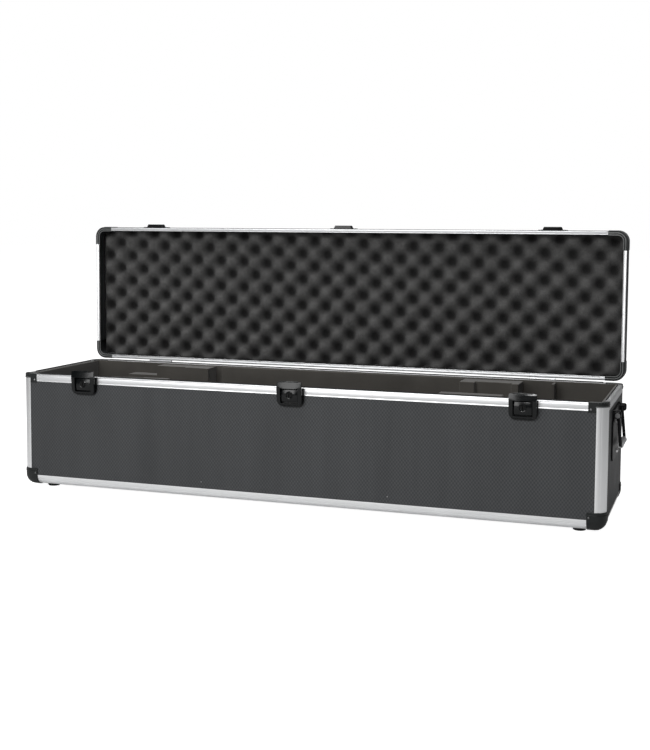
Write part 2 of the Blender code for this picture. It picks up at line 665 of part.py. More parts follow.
def build_latch(name, x):
    front = -HALF_Y
    plate = prism(latch_base_outline(x), "Y", front - BASE_OUT, front - GAP)
    base = add(f"latch_base_{name}", plate, LATCH_BLACK)
    housing = rounded_block((x - HOUSING_HALF, front - HOUSING_OUT, HOUSING_Z[0]),
                            (x + HOUSING_HALF, front - 0.002, HOUSING_Z[1]), 0.0012, 2,
                            lambda middle: middle.y < front - BASE_OUT)
    combine(base, cutter(f"lock_housing_{name}", housing), "UNION")
    bore = cylinder(KEY_RADIUS + GAP, "Y", front - 0.02, front - 0.004, (x, KEY_Z), 24)
    combine(base, cutter(f"key_bore_{name}", bore), "DIFFERENCE")

    pivot = (x, front - LATCH_PIVOT_OUT, LATCH_PIVOT_Z)
    side = [(-out, height) for out, height in lever_side_outline()]
    bar = prism(side, "X", -1.2 * LEVER_HALF, 1.2 * LEVER_HALF)
    lever = add(f"latch_lever_{name}", bar, LATCH_BLACK, location=pivot, smooth=True)
    face = prism(lever_front_outline(), "Y", -0.02, 0.02)
    combine(lever, cutter(f"lever_outline_{name}", face, location=pivot), "INTERSECT")
    window = block((-WINDOW_HALF, -0.02, WINDOW_Z[0]), (WINDOW_HALF, 0.02, WINDOW_Z[1]))
    combine(lever, cutter(f"lever_window_{name}", window, location=pivot), "DIFFERENCE")

    key_pivot = (x, front - HOUSING_OUT, KEY_Z)
    barrel = cylinder(KEY_RADIUS, "Y", -0.0006, 0.0066, (0, 0), 24)
    key = add(f"key_cylinder_{name}", barrel, STEEL, location=key_pivot, smooth=True)
    slot = block((-0.0006, -0.01, -0.0032), (0.0006, 0.003, 0.0032))
    combine(key, cutter(f"keyway_{name}", slot, location=key_pivot), "DIFFERENCE")


# End handles: built for the right-hand end and mirrored for the left; "out" runs along +X.

def handle_plate_outline():
    low, high = PLATE_Z
    middle = (low + high) / 2
    points = rounded_rectangle(PLATE_HALF, (high - low) / 2, PLATE_ROUND, 4)
    return [(y, middle + z) for y, z in points]


def build_handle_bracket(name, sign):
    """Backplate, hinge strip and the two knuckles that carry the bail."""
    face = HALF_X - PROUD + GAP

    def placed(bm):
        copy = mirrored(bm, (-sign, -1, -1))
        bm.free()
        return copy

    plate = prism(handle_plate_outline(), "X", face, face + PLATE_THICK)
    bracket = add(f"handle_bracket_{name}", placed(plate), BLACK_PLASTIC, smooth=True)
    strip = block((face, -STRIP_HALF, STRIP_Z[0]), (face + STRIP_THICK, STRIP_HALF, STRIP_Z[1]))
    combine(bracket, cutter(f"handle_strip_{name}", placed(strip)), "UNION")
    inner = HANDLE_HALF_SPAN + ROD_RADIUS + 0.0033
    for part, side in (("front", -1), ("rear", 1)):
        ends = sorted((side * inner, side * KNUCKLE_END))
        knuckle = rounded_block((face + 0.001, ends[0], HANDLE_PIVOT_Z - KNUCKLE_BELOW),
                                (face + KNUCKLE_OUT, ends[1], HANDLE_PIVOT_Z + KNUCKLE_ABOVE),
                                KNUCKLE_ROUND, 3, lambda middle: middle.x > face + KNUCKLE_OUT / 2)
        combine(bracket, cutter(f"handle_knuckle_{part}_{name}", placed(knuckle)), "UNION")
    bore = cylinder(ROD_RADIUS + GAP, "Y", -0.07, 0.07, (face + HANDLE_PIVOT_OUT, HANDLE_PIVOT_Z), 20)
    combine(bracket, cutter(f"handle_bore_{name}", placed(bore)), "DIFFERENCE")


def bail_path():
    """Half of the bail from its pivot end to the middle of the grip, as (out, y, height) from the pivot."""
    span = HANDLE_HALF_SPAN
    quarter = [math.pi / 2 * k / 4 for k in range(5)]
    upper = [(0, span + ROD_BEND * (1 - math.sin(a)), -ROD_BEND * (1 - math.cos(a))) for a in quarter]
    lower = [(HANDLE_LEAN, span - ROD_BEND * (1 - math.cos(a)), -HANDLE_DROP + ROD_BEND * (1 - math.sin(a)))
             for a in quarter]
    return [(0, ROD_END, 0)] + upper + lower


def build_bail(name, sign):
    pivot = (sign * (HALF_X - PROUD + GAP + HANDLE_PIVOT_OUT), 0, HANDLE_PIVOT_Z)
    half = bail_path()
    points = [(out, -y, height) for out, y, height in half] + list(reversed(half))
    curve = bpy.data.curves.new(f"bail_path_{name}", "CURVE")
    curve.dimensions = "3D"
    curve.bevel_depth = ROD_RADIUS
    curve.bevel_resolution = 2
    curve.use_fill_caps = True
    spline = curve.splines.new("POLY")
    spline.points.add(len(points) - 1)
    for point, (out, y, height) in zip(spline.points, points):
        point.co = (sign * out, y, height, 1)
    guide = bpy.data.objects.new(f"bail_guide_{name}", curve)
    CUTTERS.objects.link(guide)
    graph = bpy.context.evaluated_depsgraph_get()
    rod = bmesh.new()
    rod.from_mesh(bpy.data.meshes.new_from_object(guide.evaluated_get(graph)))
    bmesh.ops.remove_doubles(rod, verts=rod.verts, dist=0.00001)
    bmesh.ops.recalc_face_normals(rod, faces=rod.faces)
    bpy.data.objects.remove(guide, do_unlink=True)
    bail = add(f"handle_bail_{name}", rod, GREY_GRIP, location=pivot, smooth=True)
    grip = cylinder(GRIP_RADIUS, "Y", -GRIP_HALF, GRIP_HALF, (sign * HANDLE_LEAN, -HANDLE_DROP), 20)
    combine(bail, cutter(f"grip_{name}", grip, location=pivot), "UNION")


def build_case():
    build_panels()
    build_posts_and_bottom_rails()
    build_rim()
    build_top_brackets()
    build_bottom_corners()
    build_feet()
    build_foam()
    hinge = empty("lid_hinge_axis", (0, HINGE_Y, HINGE_Z), (-math.pi / 2, 0, 0))
    build_lid(hinge)
    build_keepers(hinge)
    build_hinges(hinge)
    for name, x in zip(LATCH_NAMES, LATCH_X):
        build_latch(name, x)
    for name, sign in (("left", -1), ("right", 1)):
        build_handle_bracket(name, sign)
        build_bail(name, sign)


build_case()
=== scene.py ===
"""Looks of a long telescope transport case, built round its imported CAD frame.

Metres, +Z up, -Y is the front. The lid stands open at a right angle in the rest pose.
"""
import json
import math

import bmesh
import bpy
import numpy as np
from mathutils import Matrix, Vector, noise

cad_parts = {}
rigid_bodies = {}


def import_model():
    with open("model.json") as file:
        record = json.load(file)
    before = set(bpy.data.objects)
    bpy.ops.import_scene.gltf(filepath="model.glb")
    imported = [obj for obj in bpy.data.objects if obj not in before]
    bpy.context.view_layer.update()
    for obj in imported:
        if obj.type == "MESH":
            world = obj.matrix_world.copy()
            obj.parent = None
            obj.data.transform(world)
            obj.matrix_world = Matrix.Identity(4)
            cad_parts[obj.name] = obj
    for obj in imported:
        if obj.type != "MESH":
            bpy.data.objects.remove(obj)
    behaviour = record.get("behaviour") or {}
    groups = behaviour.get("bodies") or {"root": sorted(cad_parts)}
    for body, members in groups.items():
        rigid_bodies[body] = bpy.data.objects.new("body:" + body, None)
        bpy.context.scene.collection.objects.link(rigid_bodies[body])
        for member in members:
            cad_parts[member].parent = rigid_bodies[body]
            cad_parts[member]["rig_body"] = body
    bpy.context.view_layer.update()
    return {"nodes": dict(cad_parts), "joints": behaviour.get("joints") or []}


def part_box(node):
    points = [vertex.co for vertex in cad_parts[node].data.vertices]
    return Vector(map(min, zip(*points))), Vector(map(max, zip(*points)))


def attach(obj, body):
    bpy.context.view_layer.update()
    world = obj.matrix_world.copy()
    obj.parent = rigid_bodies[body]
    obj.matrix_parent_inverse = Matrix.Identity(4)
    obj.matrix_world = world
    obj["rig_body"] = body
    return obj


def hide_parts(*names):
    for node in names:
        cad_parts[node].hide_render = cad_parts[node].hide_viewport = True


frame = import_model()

NODES = frame["nodes"]
CASE = "case_body"
LID = "lid"

# Sizes read from the frame
PROUD = 0.0005                                     # profiles stand this far proud of the panels
LIP = 0.002                                        # height of the rim's dust lip
HALF_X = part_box("lid_frame")[1].x
HALF_Y = -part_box("corner_post_front_right")[0].y
BODY_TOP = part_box("rim_rail_front")[1].z - LIP
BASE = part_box("bottom_rail_front")[0].z
RIM_HEIGHT = BODY_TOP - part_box("front_panel")[1].z - 0.0003
POST_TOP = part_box("corner_post_front_right")[1].z
RIM_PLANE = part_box("lid_frame")[0].y               # the open lid's rim faces the front here
LID_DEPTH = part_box("lid_frame")[1].y - RIM_PLANE
LATCH_NAMES = ("left", "middle", "right")
SIDES = (("left", -1), ("right", 1))
CORNERS = [("left" if x < 0 else "right", "front" if y < 0 else "rear", x, y)
           for y in (-1, 1) for x in (-1, 1)]

# Profiles
RADIUS = 0.020             # outer radius of the rounded profiles
SKIN = 0.002               # wall of a profile
SEAT = 0.0048              # flange behind a panel, from the outer face
REACH = 0.005              # the flange reaches this far past the rounding
FLANGE = 0.0015            # thickness of the flange
FLUTES = (206, 244)        # angles of the two shallow grooves in a rounding
RIM_WIDTH = 0.0070
GROOVE_DEPTH = 0.00035
GROOVE_WIDTH = 0.0008
RIM_WALL = 0.0042          # the lid's rim profile wraps this far round the side
SIDE_PROUD = 0.0013        # the lid's side strip stands this far proud of the rim
LID_JOIN = 0.0002          # gap between two pieces of the lid's shell

# Corner covers: beads as (inset, level, radius), where a negative inset lies outside the profiles
SHELL = 0.0015             # corner pieces stand this far proud
CORNER_LEG = 0.038         # the lid's corner covers reach this far from a corner
BEAD_SIDES = 10
BEAD_SUNK = 0.0003         # beads lie this deep in the face they run on
LID_LEGS = (CORNER_LEG - 0.0006,) * 2
LID_FACE_BEADS = ((0.0030, 0.0013), (0.0072, 0.0009))      # inset and radius, on the cover's face
LID_SIDE_BEADS = [(BEAD_SUNK - SHELL, level, 0.0011) for level in (0.009, 0.020, 0.031)]   # behind the rim
BODY_LEGS = (0.0334, 0.0334)
BODY_BEAD = (BEAD_SUNK - SHELL, 0.0285, 0.0010)            # level above the body's base
BRACKET_LEGS = (0.0340, 0.0246)
BRACKET_BEADS = ((0.0003, 0.0012, 0.0010), (0.0053, 0.0004, 0.0008),
                 (0.0090, 0.0004, 0.0007))                 # level below the bracket's top
POST_LEGS = (0.0212, 0.0212)
POST_BEAD = (-0.0004, 0.0012, 0.0011)                      # level above the post

# Rivets and screws: a head is (radius, height)
SUNK = 0.0006              # turned pieces start this far inside the surface they stand on
SMALL_HEAD = (0.0017, 0.0009)
STUD_HEAD = (0.0046, 0.0034)
SCREW_HEAD = (0.0022, 0.0007)
LEAF_SCREWS = (0.14, 0.5, 0.86)                            # parts of a hinge leaf's length
RAIL_RIVETS_X = (-0.191, 0.195)
RAIL_RIVETS_Z = 0.0325
STUDS_Z = (0.178, 0.122)
# at each body corner: height of the ground, (x, z) and head on the long face, (y, z) and head on the end
CORNER_RIVETS = ((SHELL - 0.0001, (0.5700, 0.0240), SMALL_HEAD, (0.1200, 0.0240), SMALL_HEAD),
                 (0.0008, (0.5700, 0.2195), (0.0021, 0.0011), (0.1285, 0.2272), (0.0018, 0.0009)))
LID_RIVET_X = 0.5680
LID_RIVET_BELOW = 0.032    # from the lid's edge, on its ends
LID_RIVET_DEPTH = 0.0255   # behind the rim

# Feet, as parts of their radius and height
FOOT_PROFILE = ((0, 0), (1, 0), (1, 0.35), (0.97, 0.5), (0.90, 0.52), (0.88, 0.8), (0.80, 0.97), (0.70, 1),
                (0.34, 1), (0.26, 0.55), (0, 0.55))

# Foam
WALL_BOARD = 0.0058
PAD_BOARD = 0.0060
PAD_X = (-0.273, 0.278)         # thicker lining boards stand beside the middle space
LINING_FLOOR = 0.0145           # top of the floor board
BOARD_SPACING = 0.012
CUT_SPACING = 0.016
CUT_RIPPLE = 0.0005
PIT_AT = (0.5731, 0.4554)       # egg-crate foam: one pit, as (x, z) with the lid open
PITS_ALONG = (17.79, -0.21)     # cycles along a row for each metre of x and of z
PITS_UP = (0.71, 17.39)         # cycles across the rows; the sheet lies slightly askew
PIT_DEPTH = 0.0205
PIT_SLOPE = 0.0025              # the part of that depth which falls evenly from crest to pit
PIT_STEEPNESS = 1.9             # how the rest of it falls
CREST_RISE = 0.002
CREST_BACK = 0.0024             # the mean crest lies this far behind the CAD block's face
PIT_SWAY = 0.0030               # rows wander by this much
EDGE_ROLL = 0.004               # the face rolls back by this much
EDGE_BAND = 0.006               # over this width at the foam's edge
FOAM_SPACING = 0.003
FOAM_SHOULDER = 0.016           # height of the cut side, from the back
FOAM_BACK_INSET = 0.014

# Latches
HOUSING_HALF = (0.0174, 0.0125)     # half width and half height of the lock housing
HOUSING_FACE = 0.0098               # its front face starts this far in front of the case
LEVER_FLAP = 0.0142                 # the flap above the lever's window
LEVER_FACE = 0.0022                 # only this much of the lever's thickness is shaped
LEVER_FALL = 0.022                  # the flap's rise runs out this far below it

# End handles, from the bail's pivot
BAIL_SPAN = 0.040          # half the distance between the arms
BAIL_BEND = 0.006          # radius of the bends
BAIL_ROD = 0.003
BAIL_LEAN = 0.0045         # the arms lean out by this much on their way down
BAIL_DROP = 0.059
GRIP = 0.0055
GRIP_END = 0.0335
GRIP_RIBS = 13
KNUCKLES = ((0.0492, 0.0050), (0.0538, 0.0056), (0.0584, 0.0050))      # place along the pin and radius

# Camera
CAMERA_PLACE = (0.8046, -2.2432, 0.5335)
CAMERA_TURN = (90 - 4.2955, 0.4257, 18.0935)       # tilt, roll and heading in degrees
CAMERA_LENS = 64.873
CAMERA_SHIFT = (-0.0402, -0.087)

# Stage: soft boxes as (name, place, aim, size, power); a glow is (for the camera, for every other ray)
SOFT_BOXES = (("key_box", (-1.15, -3.2, 1.25), (0, 0, 0.2), (1.3, 1.7), 43),
              ("top_box", (-0.5, -0.3, 3.0), (-0.2, 0, 0), (2.2, 2.0), 60),
              ("front_box", (0.33, -4.0, 2.3), (0.2, 0, 0.2), (0.5, 1.0), 56))
FLOOR_SIZE = 60
FLOOR_TINTS = ((0.66, 0.66, 0.66), (0.69, 0.69, 0.69))
FLOOR_GLOW = (0.95, 0.05)
ROOM_GLOW = (1.0, 0.08)


# Materials

EMBOSS_PITCH = 0.0064
LAMINATE_TINTS = ((0.027, 0.0285, 0.030), (0.046, 0.048, 0.0505), (0.077, 0.080, 0.083))


class Finish:
    """One procedural material, and short words for its nodes."""

    def __init__(self, name, roughness, metallic=0.0, specular=0.5):
        self.material = bpy.data.materials.new(name)
        self.material.use_nodes = True
        self.nodes = self.material.node_tree.nodes
        self.links = self.material.node_tree.links
        self.shader = self.nodes["Principled BSDF"]
        self.shader.inputs["Roughness"].default_value = roughness
        self.shader.inputs["Metallic"].default_value = metallic
        self.shader.inputs["Specular IOR Level"].default_value = specular
        self.place = self.nodes.new("ShaderNodeTexCoord").outputs["Object"]

    def feed(self, value, socket):
        if isinstance(value, bpy.types.NodeSocket):
            self.links.new(value, socket)
        else:
            socket.default_value = value

    def maths(self, operation, *values):
        node = self.nodes.new("ShaderNodeMath")
        node.operation = operation
        for value, socket in zip(values, node.inputs):
            self.feed(value, socket)
        return node.outputs[0]

    def axes(self):
        split = self.nodes.new("ShaderNodeSeparateXYZ")
        self.links.new(self.place, split.inputs[0])
        return split.outputs

    def noise(self, scale, detail=3.0, stretch=(1, 1, 1)):
        mapping = self.nodes.new("ShaderNodeMapping")
        mapping.inputs["Scale"].default_value = stretch
        self.links.new(self.place, mapping.inputs["Vector"])
        texture = self.nodes.new("ShaderNodeTexNoise")
        texture.inputs["Scale"].default_value = scale
        texture.inputs["Detail"].default_value = detail
        self.links.new(mapping.outputs[0], texture.inputs["Vector"])
        return texture.outputs["Fac"]

    def cells(self, scale):
        texture = self.nodes.new("ShaderNodeTexVoronoi")
        texture.inputs["Scale"].default_value = scale
        self.links.new(self.place, texture.inputs["Vector"])
        return texture.outputs["Distance"]

    def span(self, value, low, high, from_low, from_high):
        """Map the range between from_low and from_high to the one between low and high."""
        node = self.nodes.new("ShaderNodeMapRange")
        limits = {"From Min": from_low, "From Max": from_high, "To Min": low, "To Max": high}
        for name, number in limits.items():
            node.inputs[name].default_value = number
        self.links.new(value, node.inputs["Value"])
        return node.outputs[0]

    def blend(self, factor, first, second):
        node = self.nodes.new("ShaderNodeMix")
        node.data_type = "RGBA"
        self.links.new(factor, node.inputs["Factor"])
        for colour, socket in ((first, node.inputs["A"]), (second, node.inputs["B"])):
            self.feed((*colour, 1.0) if isinstance(colour, tuple) else colour, socket)
        return node.outputs["Result"]

    def colour(self, value):
        self.links.new(value, self.shader.inputs["Base Color"])

    def roughness(self, value):
        self.links.new(value, self.shader.inputs["Roughness"])

    def bump(self, height, distance, strength):
        node = self.nodes.new("ShaderNodeBump")
        node.inputs["Strength"].default_value = strength
        node.inputs["Distance"].default_value = distance
        self.links.new(height, node.inputs["Height"])
        self.links.new(node.outputs["Normal"], self.shader.inputs["Normal"])


def scaled(tint, factor):
    """A darker or lighter version of a tint."""
    return tuple(factor * c for c in tint)


def aluminium(name, along, tint, matt):
    """Satin anodised extrusion with fine drawing lines along one axis."""
    finish = Finish(name, 0.36, metallic=1.0)
    lines = finish.noise(1.0, 2.0, tuple(6.0 if letter == along else 900.0 for letter in "XYZ"))
    cloud = finish.noise(9.0, 4.0)
    dark = (tint - 0.04, tint - 0.03, tint - 0.02)
    light = (tint + 0.03, tint + 0.035, tint + 0.04)
    finish.colour(finish.blend(cloud, dark, light))
    streaks = finish.maths("ADD", finish.maths("MULTIPLY", lines, 0.6), cloud)
    finish.roughness(finish.span(streaks, matt - 0.08, matt + 0.10, 0.3, 1.3))
    finish.bump(lines, 0.00004, 0.5)
    return finish.material


def laminate(name, first, second):
    """Dark laminate with a fine embossing of crossed diagonal ridges in the plane of two axes; its colour is
    darker in the embossing's hollows, a painted shade.
    """
    finish = Finish(name, 0.42, specular=0.2)
    axes = finish.axes()
    a, b = axes["XYZ".index(first)], axes["XYZ".index(second)]
    steep = finish.maths("MULTIPLY", b, 0.8)
    waves = []
    for operation in ("ADD", "SUBTRACT"):
        slant = finish.maths(operation, a, steep)
        waves.append(finish.maths("SINE", finish.maths("MULTIPLY", slant, 2 * math.pi / EMBOSS_PITCH)))
    emboss_and_painted_shade = finish.span(finish.maths("ADD", *waves), 0.0, 1.0, -1.4, 1.4)
    cloud = finish.noise(5.0, 5.0)
    bands = finish.noise(1.0, 2.0, tuple(26.0 if letter == first else 2.5 for letter in "XYZ"))
    scuffs = finish.noise(1.0, 3.0, (240.0, 240.0, 24.0))
    shade = finish.maths("ADD", finish.maths("MULTIPLY", bands, 0.7), finish.maths("MULTIPLY", cloud, 0.3))
    dark = finish.blend(shade, *LAMINATE_TINTS[:2])
    light = finish.blend(shade, *LAMINATE_TINTS[1:])
    # painted shade: the colour follows the embossing, darker in its hollows and lighter on its ridges
    finish.colour(finish.blend(emboss_and_painted_shade, dark, light))
    finish.roughness(finish.span(finish.maths("ADD", cloud, scuffs), 0.36, 0.55, 0.6, 1.4))
    finish.bump(emboss_and_painted_shade, 0.00022, 0.9)
    return finish.material


def moulded(name, tint, roughness, grain, specular=0.45):
    """Moulded plastic, rubber or enamel: slight unevenness and a fine grain."""
    finish = Finish(name, roughness, specular=specular)
    cloud = finish.noise(38.0, 4.0)
    finish.colour(finish.blend(cloud, scaled(tint, 0.82), scaled(tint, 1.25)))
    finish.roughness(finish.span(cloud, 0.82 * roughness, 1.22 * roughness, 0.25, 0.75))
    if grain:
        finish.bump(finish.cells(1500.0), grain, 0.6)
    return finish.material


def plated(name, tint, roughness):
    """Bright or blackened steel with fine scratches."""
    finish = Finish(name, roughness, metallic=1.0)
    cloud = finish.noise(60.0, 4.0)
    scratches = finish.noise(1.0, 2.0, (1500.0, 90.0, 90.0))
    finish.colour(finish.blend(cloud, scaled(tint, 0.88), tint))
    wear = finish.maths("ADD", cloud, scratches)
    finish.roughness(finish.span(wear, 0.75 * roughness, 1.35 * roughness, 0.6, 1.4))
    finish.bump(scratches, 0.00002, 0.4)
    return finish.material


def felt(name, tint):
    """Felt-faced foam board: short fibres, a soft sheen and faint handling marks."""
    finish = Finish(name, 0.92, specular=0.2)
    fibres = finish.noise(1.0, 4.0, (1400.0, 500.0, 700.0))
    marks = finish.noise(11.0, 4.0)
    shade = finish.span(finish.maths("ADD", finish.maths("MULTIPLY", fibres, 0.5), marks), 0.0, 1.0, 0.4, 1.1)
    finish.colour(finish.blend(shade, scaled(tint, 0.72), scaled(tint, 1.3)))
    finish.shader.inputs["Sheen Weight"].default_value = 0.25
    finish.shader.inputs["Sheen Roughness"].default_value = 0.5
    finish.bump(fibres, 0.0003, 0.7)
    return finish.material


def open_cell(name, tint, front, depth):
    """Open-cell foam: pores of two sizes over a slightly mottled grey, with painted shade that darkens it
    deeper in the pits.
    """
    finish = Finish(name, 0.95, specular=0.12)
    pores = finish.cells(900.0)
    grit = finish.noise(520.0, 5.0)
    mottle = finish.noise(60.0, 5.0)
    speckle = finish.maths("ADD", finish.maths("MULTIPLY", grit, 0.6), finish.maths("MULTIPLY", mottle, 0.5))
    grain = finish.span(speckle, 0.0, 1.0, 0.35, 0.75)
    flat = finish.blend(grain, scaled(tint, 0.62), scaled(tint, 1.38))
    # painted shade: the colour darkens from the crests towards the bottoms of the pits
    painted_pit_shade = finish.span(finish.axes()["Y"], 0.0, 1.0, front + 0.10 * depth, front + 0.85 * depth)
    finish.colour(finish.blend(painted_pit_shade, flat, scaled(tint, 0.16)))
    finish.shader.inputs["Sheen Weight"].default_value = 0.10
    finish.bump(finish.maths("ADD", pores, grit), 0.0009, 0.8)
    return finish.material


# The tints differ by direction and piece: lit and shaded copies of one anodised aluminium, painted light and
# painted shade
ALUMINIUM = {axis: aluminium(f"aluminium_lit_and_shaded_along_{axis.lower()}", axis, tint, matt)
             for axis, tint, matt in (("X", 0.74, 0.36), ("Y", 0.92, 0.50), ("Z", 0.94, 0.36))}
RAIL_ALUMINIUM_PAINTED_LIGHT = aluminium("aluminium_bottom_rail_painted_light", "X", 0.95, 0.42)
LID_ALUMINIUM_PAINTED_SHADE = aluminium("aluminium_lid_rim_painted_shade", "X", 0.56, 0.40)
LAMINATE = {plane: laminate(f"laminate_{plane.lower()}", *plane) for plane in ("XZ", "YZ", "XY")}
BLACK_PLASTIC = moulded("black_plastic", (0.010, 0.0115, 0.0115), 0.36, 0.00004, 0.3)
# Lighter plastic for the beads: a painted highlight on the ridges of the same black plastic
BEAD_PLASTIC_PAINTED_HIGHLIGHT = moulded("black_plastic_bead_highlight", (0.15, 0.155, 0.155), 0.34, 0.0, 0.5)
KNUCKLE_GREY = moulded("handle_knuckle_grey", (0.17, 0.172, 0.175), 0.42, 0.00004)
RUBBER = moulded("rubber", (0.016, 0.016, 0.016), 0.75, 0.00008, 0.3)
ENAMEL = moulded("latch_enamel", (0.0025, 0.0032, 0.0035), 0.19, 0.0, 0.30)
KEY_BLACK = moulded("key_black", (0.002, 0.0025, 0.0025), 0.16, 0.0, 0.20)
POWDER_COAT = moulded("handle_powder_coat", (0.008, 0.008, 0.009), 0.36, 0.00006, 0.15)
GRIP_GREY = moulded("handle_grip_grey", (0.62, 0.625, 0.63), 0.5, 0.00005)
ZINC = plated("hinge_zinc", (0.66, 0.67, 0.68), 0.32)
RIVET_STEEL = plated("rivet_steel", (0.86, 0.86, 0.87), 0.22)
BLACK_STEEL = plated("rivet_black_steel", (0.22, 0.22, 0.225), 0.3)
FELT = felt("felt_brown_grey", (0.058, 0.054, 0.048))
LID_FOAM = open_cell("open_cell_foam", (0.090, 0.089, 0.088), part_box("lid_foam")[0].y, PIT_DEPTH)


# Mesh words

def new_piece(name, bm, material, body, sharp=35):
    """Turn a bmesh into a smooth piece of one body; edges steeper than sharp degrees stay sharp."""
    mesh = bpy.data.meshes.new(name)
    bm.to_mesh(mesh)
    bm.free()
    mesh.materials.append(material)
    mesh.shade_smooth()
    mesh.set_sharp_from_angle(angle=math.radians(sharp))
    piece = bpy.data.objects.new(name, mesh)
    bpy.context.scene.collection.objects.link(piece)
    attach(piece, body)
    return piece


def soften(piece, width, segments):
    """Ease every edge that is sharper than 28 degrees."""
    bevel = piece.modifiers.new("edges", "BEVEL")
    bevel.width = width
    bevel.segments = segments
    bevel.limit_method = "ANGLE"
    bevel.angle_limit = math.radians(28)
    bevel.harden_normals = True


def cad_copy(node):
    """The node's shape with its split faces joined up again and its flat faces whole."""
    bm = bmesh.new()
    bm.from_mesh(NODES[node].data)
    bmesh.ops.remove_doubles(bm, verts=bm.verts, dist=0.000005)
    bmesh.ops.dissolve_limit(bm, angle_limit=math.radians(0.5), verts=bm.verts, edges=bm.edges)
    bmesh.ops.recalc_face_normals(bm, faces=bm.faces)
    return bm


def refined(node, material, width, segments=2, extra=None, reshape=None, extra_material=None):
    """A piece of the CAD node's own shape, reshaped or not, with eased edges and perhaps extra detail."""
    bm = cad_copy(node)
    if reshape:
        reshape(bm)
    piece = new_piece(f"{node}_piece", bm, material, NODES[node]["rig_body"])
    soften(piece, width, segments)
    if extra:
        new_piece(f"{node}_detail", extra, extra_material or material, NODES[node]["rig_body"])
    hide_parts(node)
    return piece


def direction(axis):
    """The unit vector of an axis given by its letter."""
    return Vector([float(axis == letter) for letter in "XYZ"])


def sliced(bm, axis, places):
    """Cut a mesh across one axis, so that its flat faces can be bent."""
    normal = direction(axis)
    for place in places:
        everything = bm.verts[:] + bm.edges[:] + bm.faces[:]
        bmesh.ops.bisect_plane(bm, geom=everything, plane_co=normal * place, plane_no=normal, dist=1e-6)


def bridged(bm, first, second):
    """Faces between two closed rings of vertices."""
    for k in range(len(first)):
        after = (k + 1) % len(first)
        bm.faces.new((first[k], first[after], second[after], second[k]))


def arc(centre, radius, start, end, steps):
    """Points on a round line between two angles in degrees."""
    angles = np.radians(np.linspace(start, end, steps + 1))
    return [(centre[0] + radius * math.cos(a), centre[1] + radius * math.sin(a)) for a in angles]


def fluted_arc(centre, radius, start, end, grooves):
    """A quarter round with shallow grooves at the given angles."""
    points = []
    for angle in np.linspace(start, end, 61):
        gap = min(abs(angle - groove) for groove in grooves)
        cut = GROOVE_DEPTH * math.exp(-(math.radians(gap) * radius / GROOVE_WIDTH) ** 2)
        points += arc(centre, radius - cut, angle, angle, 0)
    return points


def prism(outline, axis, start, end):
    """A closed outline, drawn across an axis and extruded along it."""
    place = {"X": lambda a, b: (start, a, b), "Y": lambda a, b: (a, start, b),
             "Z": lambda a, b: (a, b, start)}
    bm = bmesh.new()
    face = bm.faces.new([bm.verts.new(place[axis](a, b)) for a, b in outline])
    grown = bmesh.ops.extrude_face_region(bm, geom=[face])["geom"]
    moved = [item for item in grown if isinstance(item, bmesh.types.BMVert)]
    bmesh.ops.translate(bm, verts=moved, vec=direction(axis) * (end - start))
    bmesh.ops.recalc_face_normals(bm, faces=bm.faces)
    return bm


def tube(bm, path, radius, sides):
    """A round bar along a path of points, with closed ends."""
    path = [Vector(p) for p in path]
    side = None
    rings = []
    for k, point in enumerate(path):
        ahead = (path[min(k + 1, len(path) - 1)] - path[max(k - 1, 0)]).normalized()
        if side is None:
            side = ahead.orthogonal().normalized()
        side = (side - ahead * side.dot(ahead)).normalized()
        other = ahead.cross(side)
        angles = [2 * math.pi * n / sides for n in range(sides)]
        rings.append([bm.verts.new(point + radius * (math.cos(a) * side + math.sin(a) * other))
                      for a in angles])
    for ring, following in zip(rings, rings[1:]):
        bridged(bm, ring, following)
    bm.faces.new(list(reversed(rings[0])))
    bm.faces.new(rings[-1])


def turned(bm, profile, place, axis, sides):
    """Turn a profile of (radius, height) points round an axis through place."""
    turn = Vector((0, 0, 1)).rotation_difference(Vector(axis)).to_matrix()
    place = Vector(place)
    angles = [2 * math.pi * n / sides for n in range(sides)]
    rings = []
    for radius, height in profile:
        if radius < 1e-7:
            points = [(0, 0, height)]
        else:
            points = [(radius * math.cos(a), radius * math.sin(a), height) for a in angles]
        rings.append([bm.verts.new(place + turn @ Vector(point)) for point in points])
    for ring, following in zip(rings, rings[1:]):
        for n in range(sides):
            after = (n + 1) % sides
            corners = [ring[n % len(ring)], ring[after % len(ring)], following[after % len(following)],
                       following[n % len(following)]]
            bm.faces.new(list(dict.fromkeys(corners)))
    bmesh.ops.recalc_face_normals(bm, faces=bm.faces)


def dome(bm, place, axis, radius, height):
    """A dome-headed rivet standing on a surface, with a small rim."""
    profile = [(0, -SUNK), (radius, -SUNK), (radius, 0.12 * height), (0.94 * radius, 0.3 * height)]
    profile += [(0.9 * radius * math.cos(a), 0.3 * height + 0.7 * height * math.sin(a))
                for a in np.radians([15, 35, 55, 72])]
    turned(bm, profile + [(0, height)], place, axis, 20)


def bolt(bm, place, axis, radius, height):
    """A flat-headed screw with a cross recess drawn as a shallow dish."""
    profile = [(0, -SUNK), (radius, -SUNK), (radius, 0.6 * height), (0.82 * radius, height),
               (0.42 * radius, height), (0.3 * radius, 0.3 * height), (0, 0.25 * height)]
    turned(bm, profile, place, axis, 20)


def rounded_rectangle(half_x, half_y, radius):
    """Points round a rectangle with round corners."""
    points = []
    for sign_x, sign_y, start in ((1, 1, 0), (-1, 1, 90), (-1, -1, 180), (1, -1, 270)):
        centre = (sign_x * (half_x - radius), sign_y * (half_y - radius))
        points += arc(centre, radius, start, start + 90, 12)
    return points


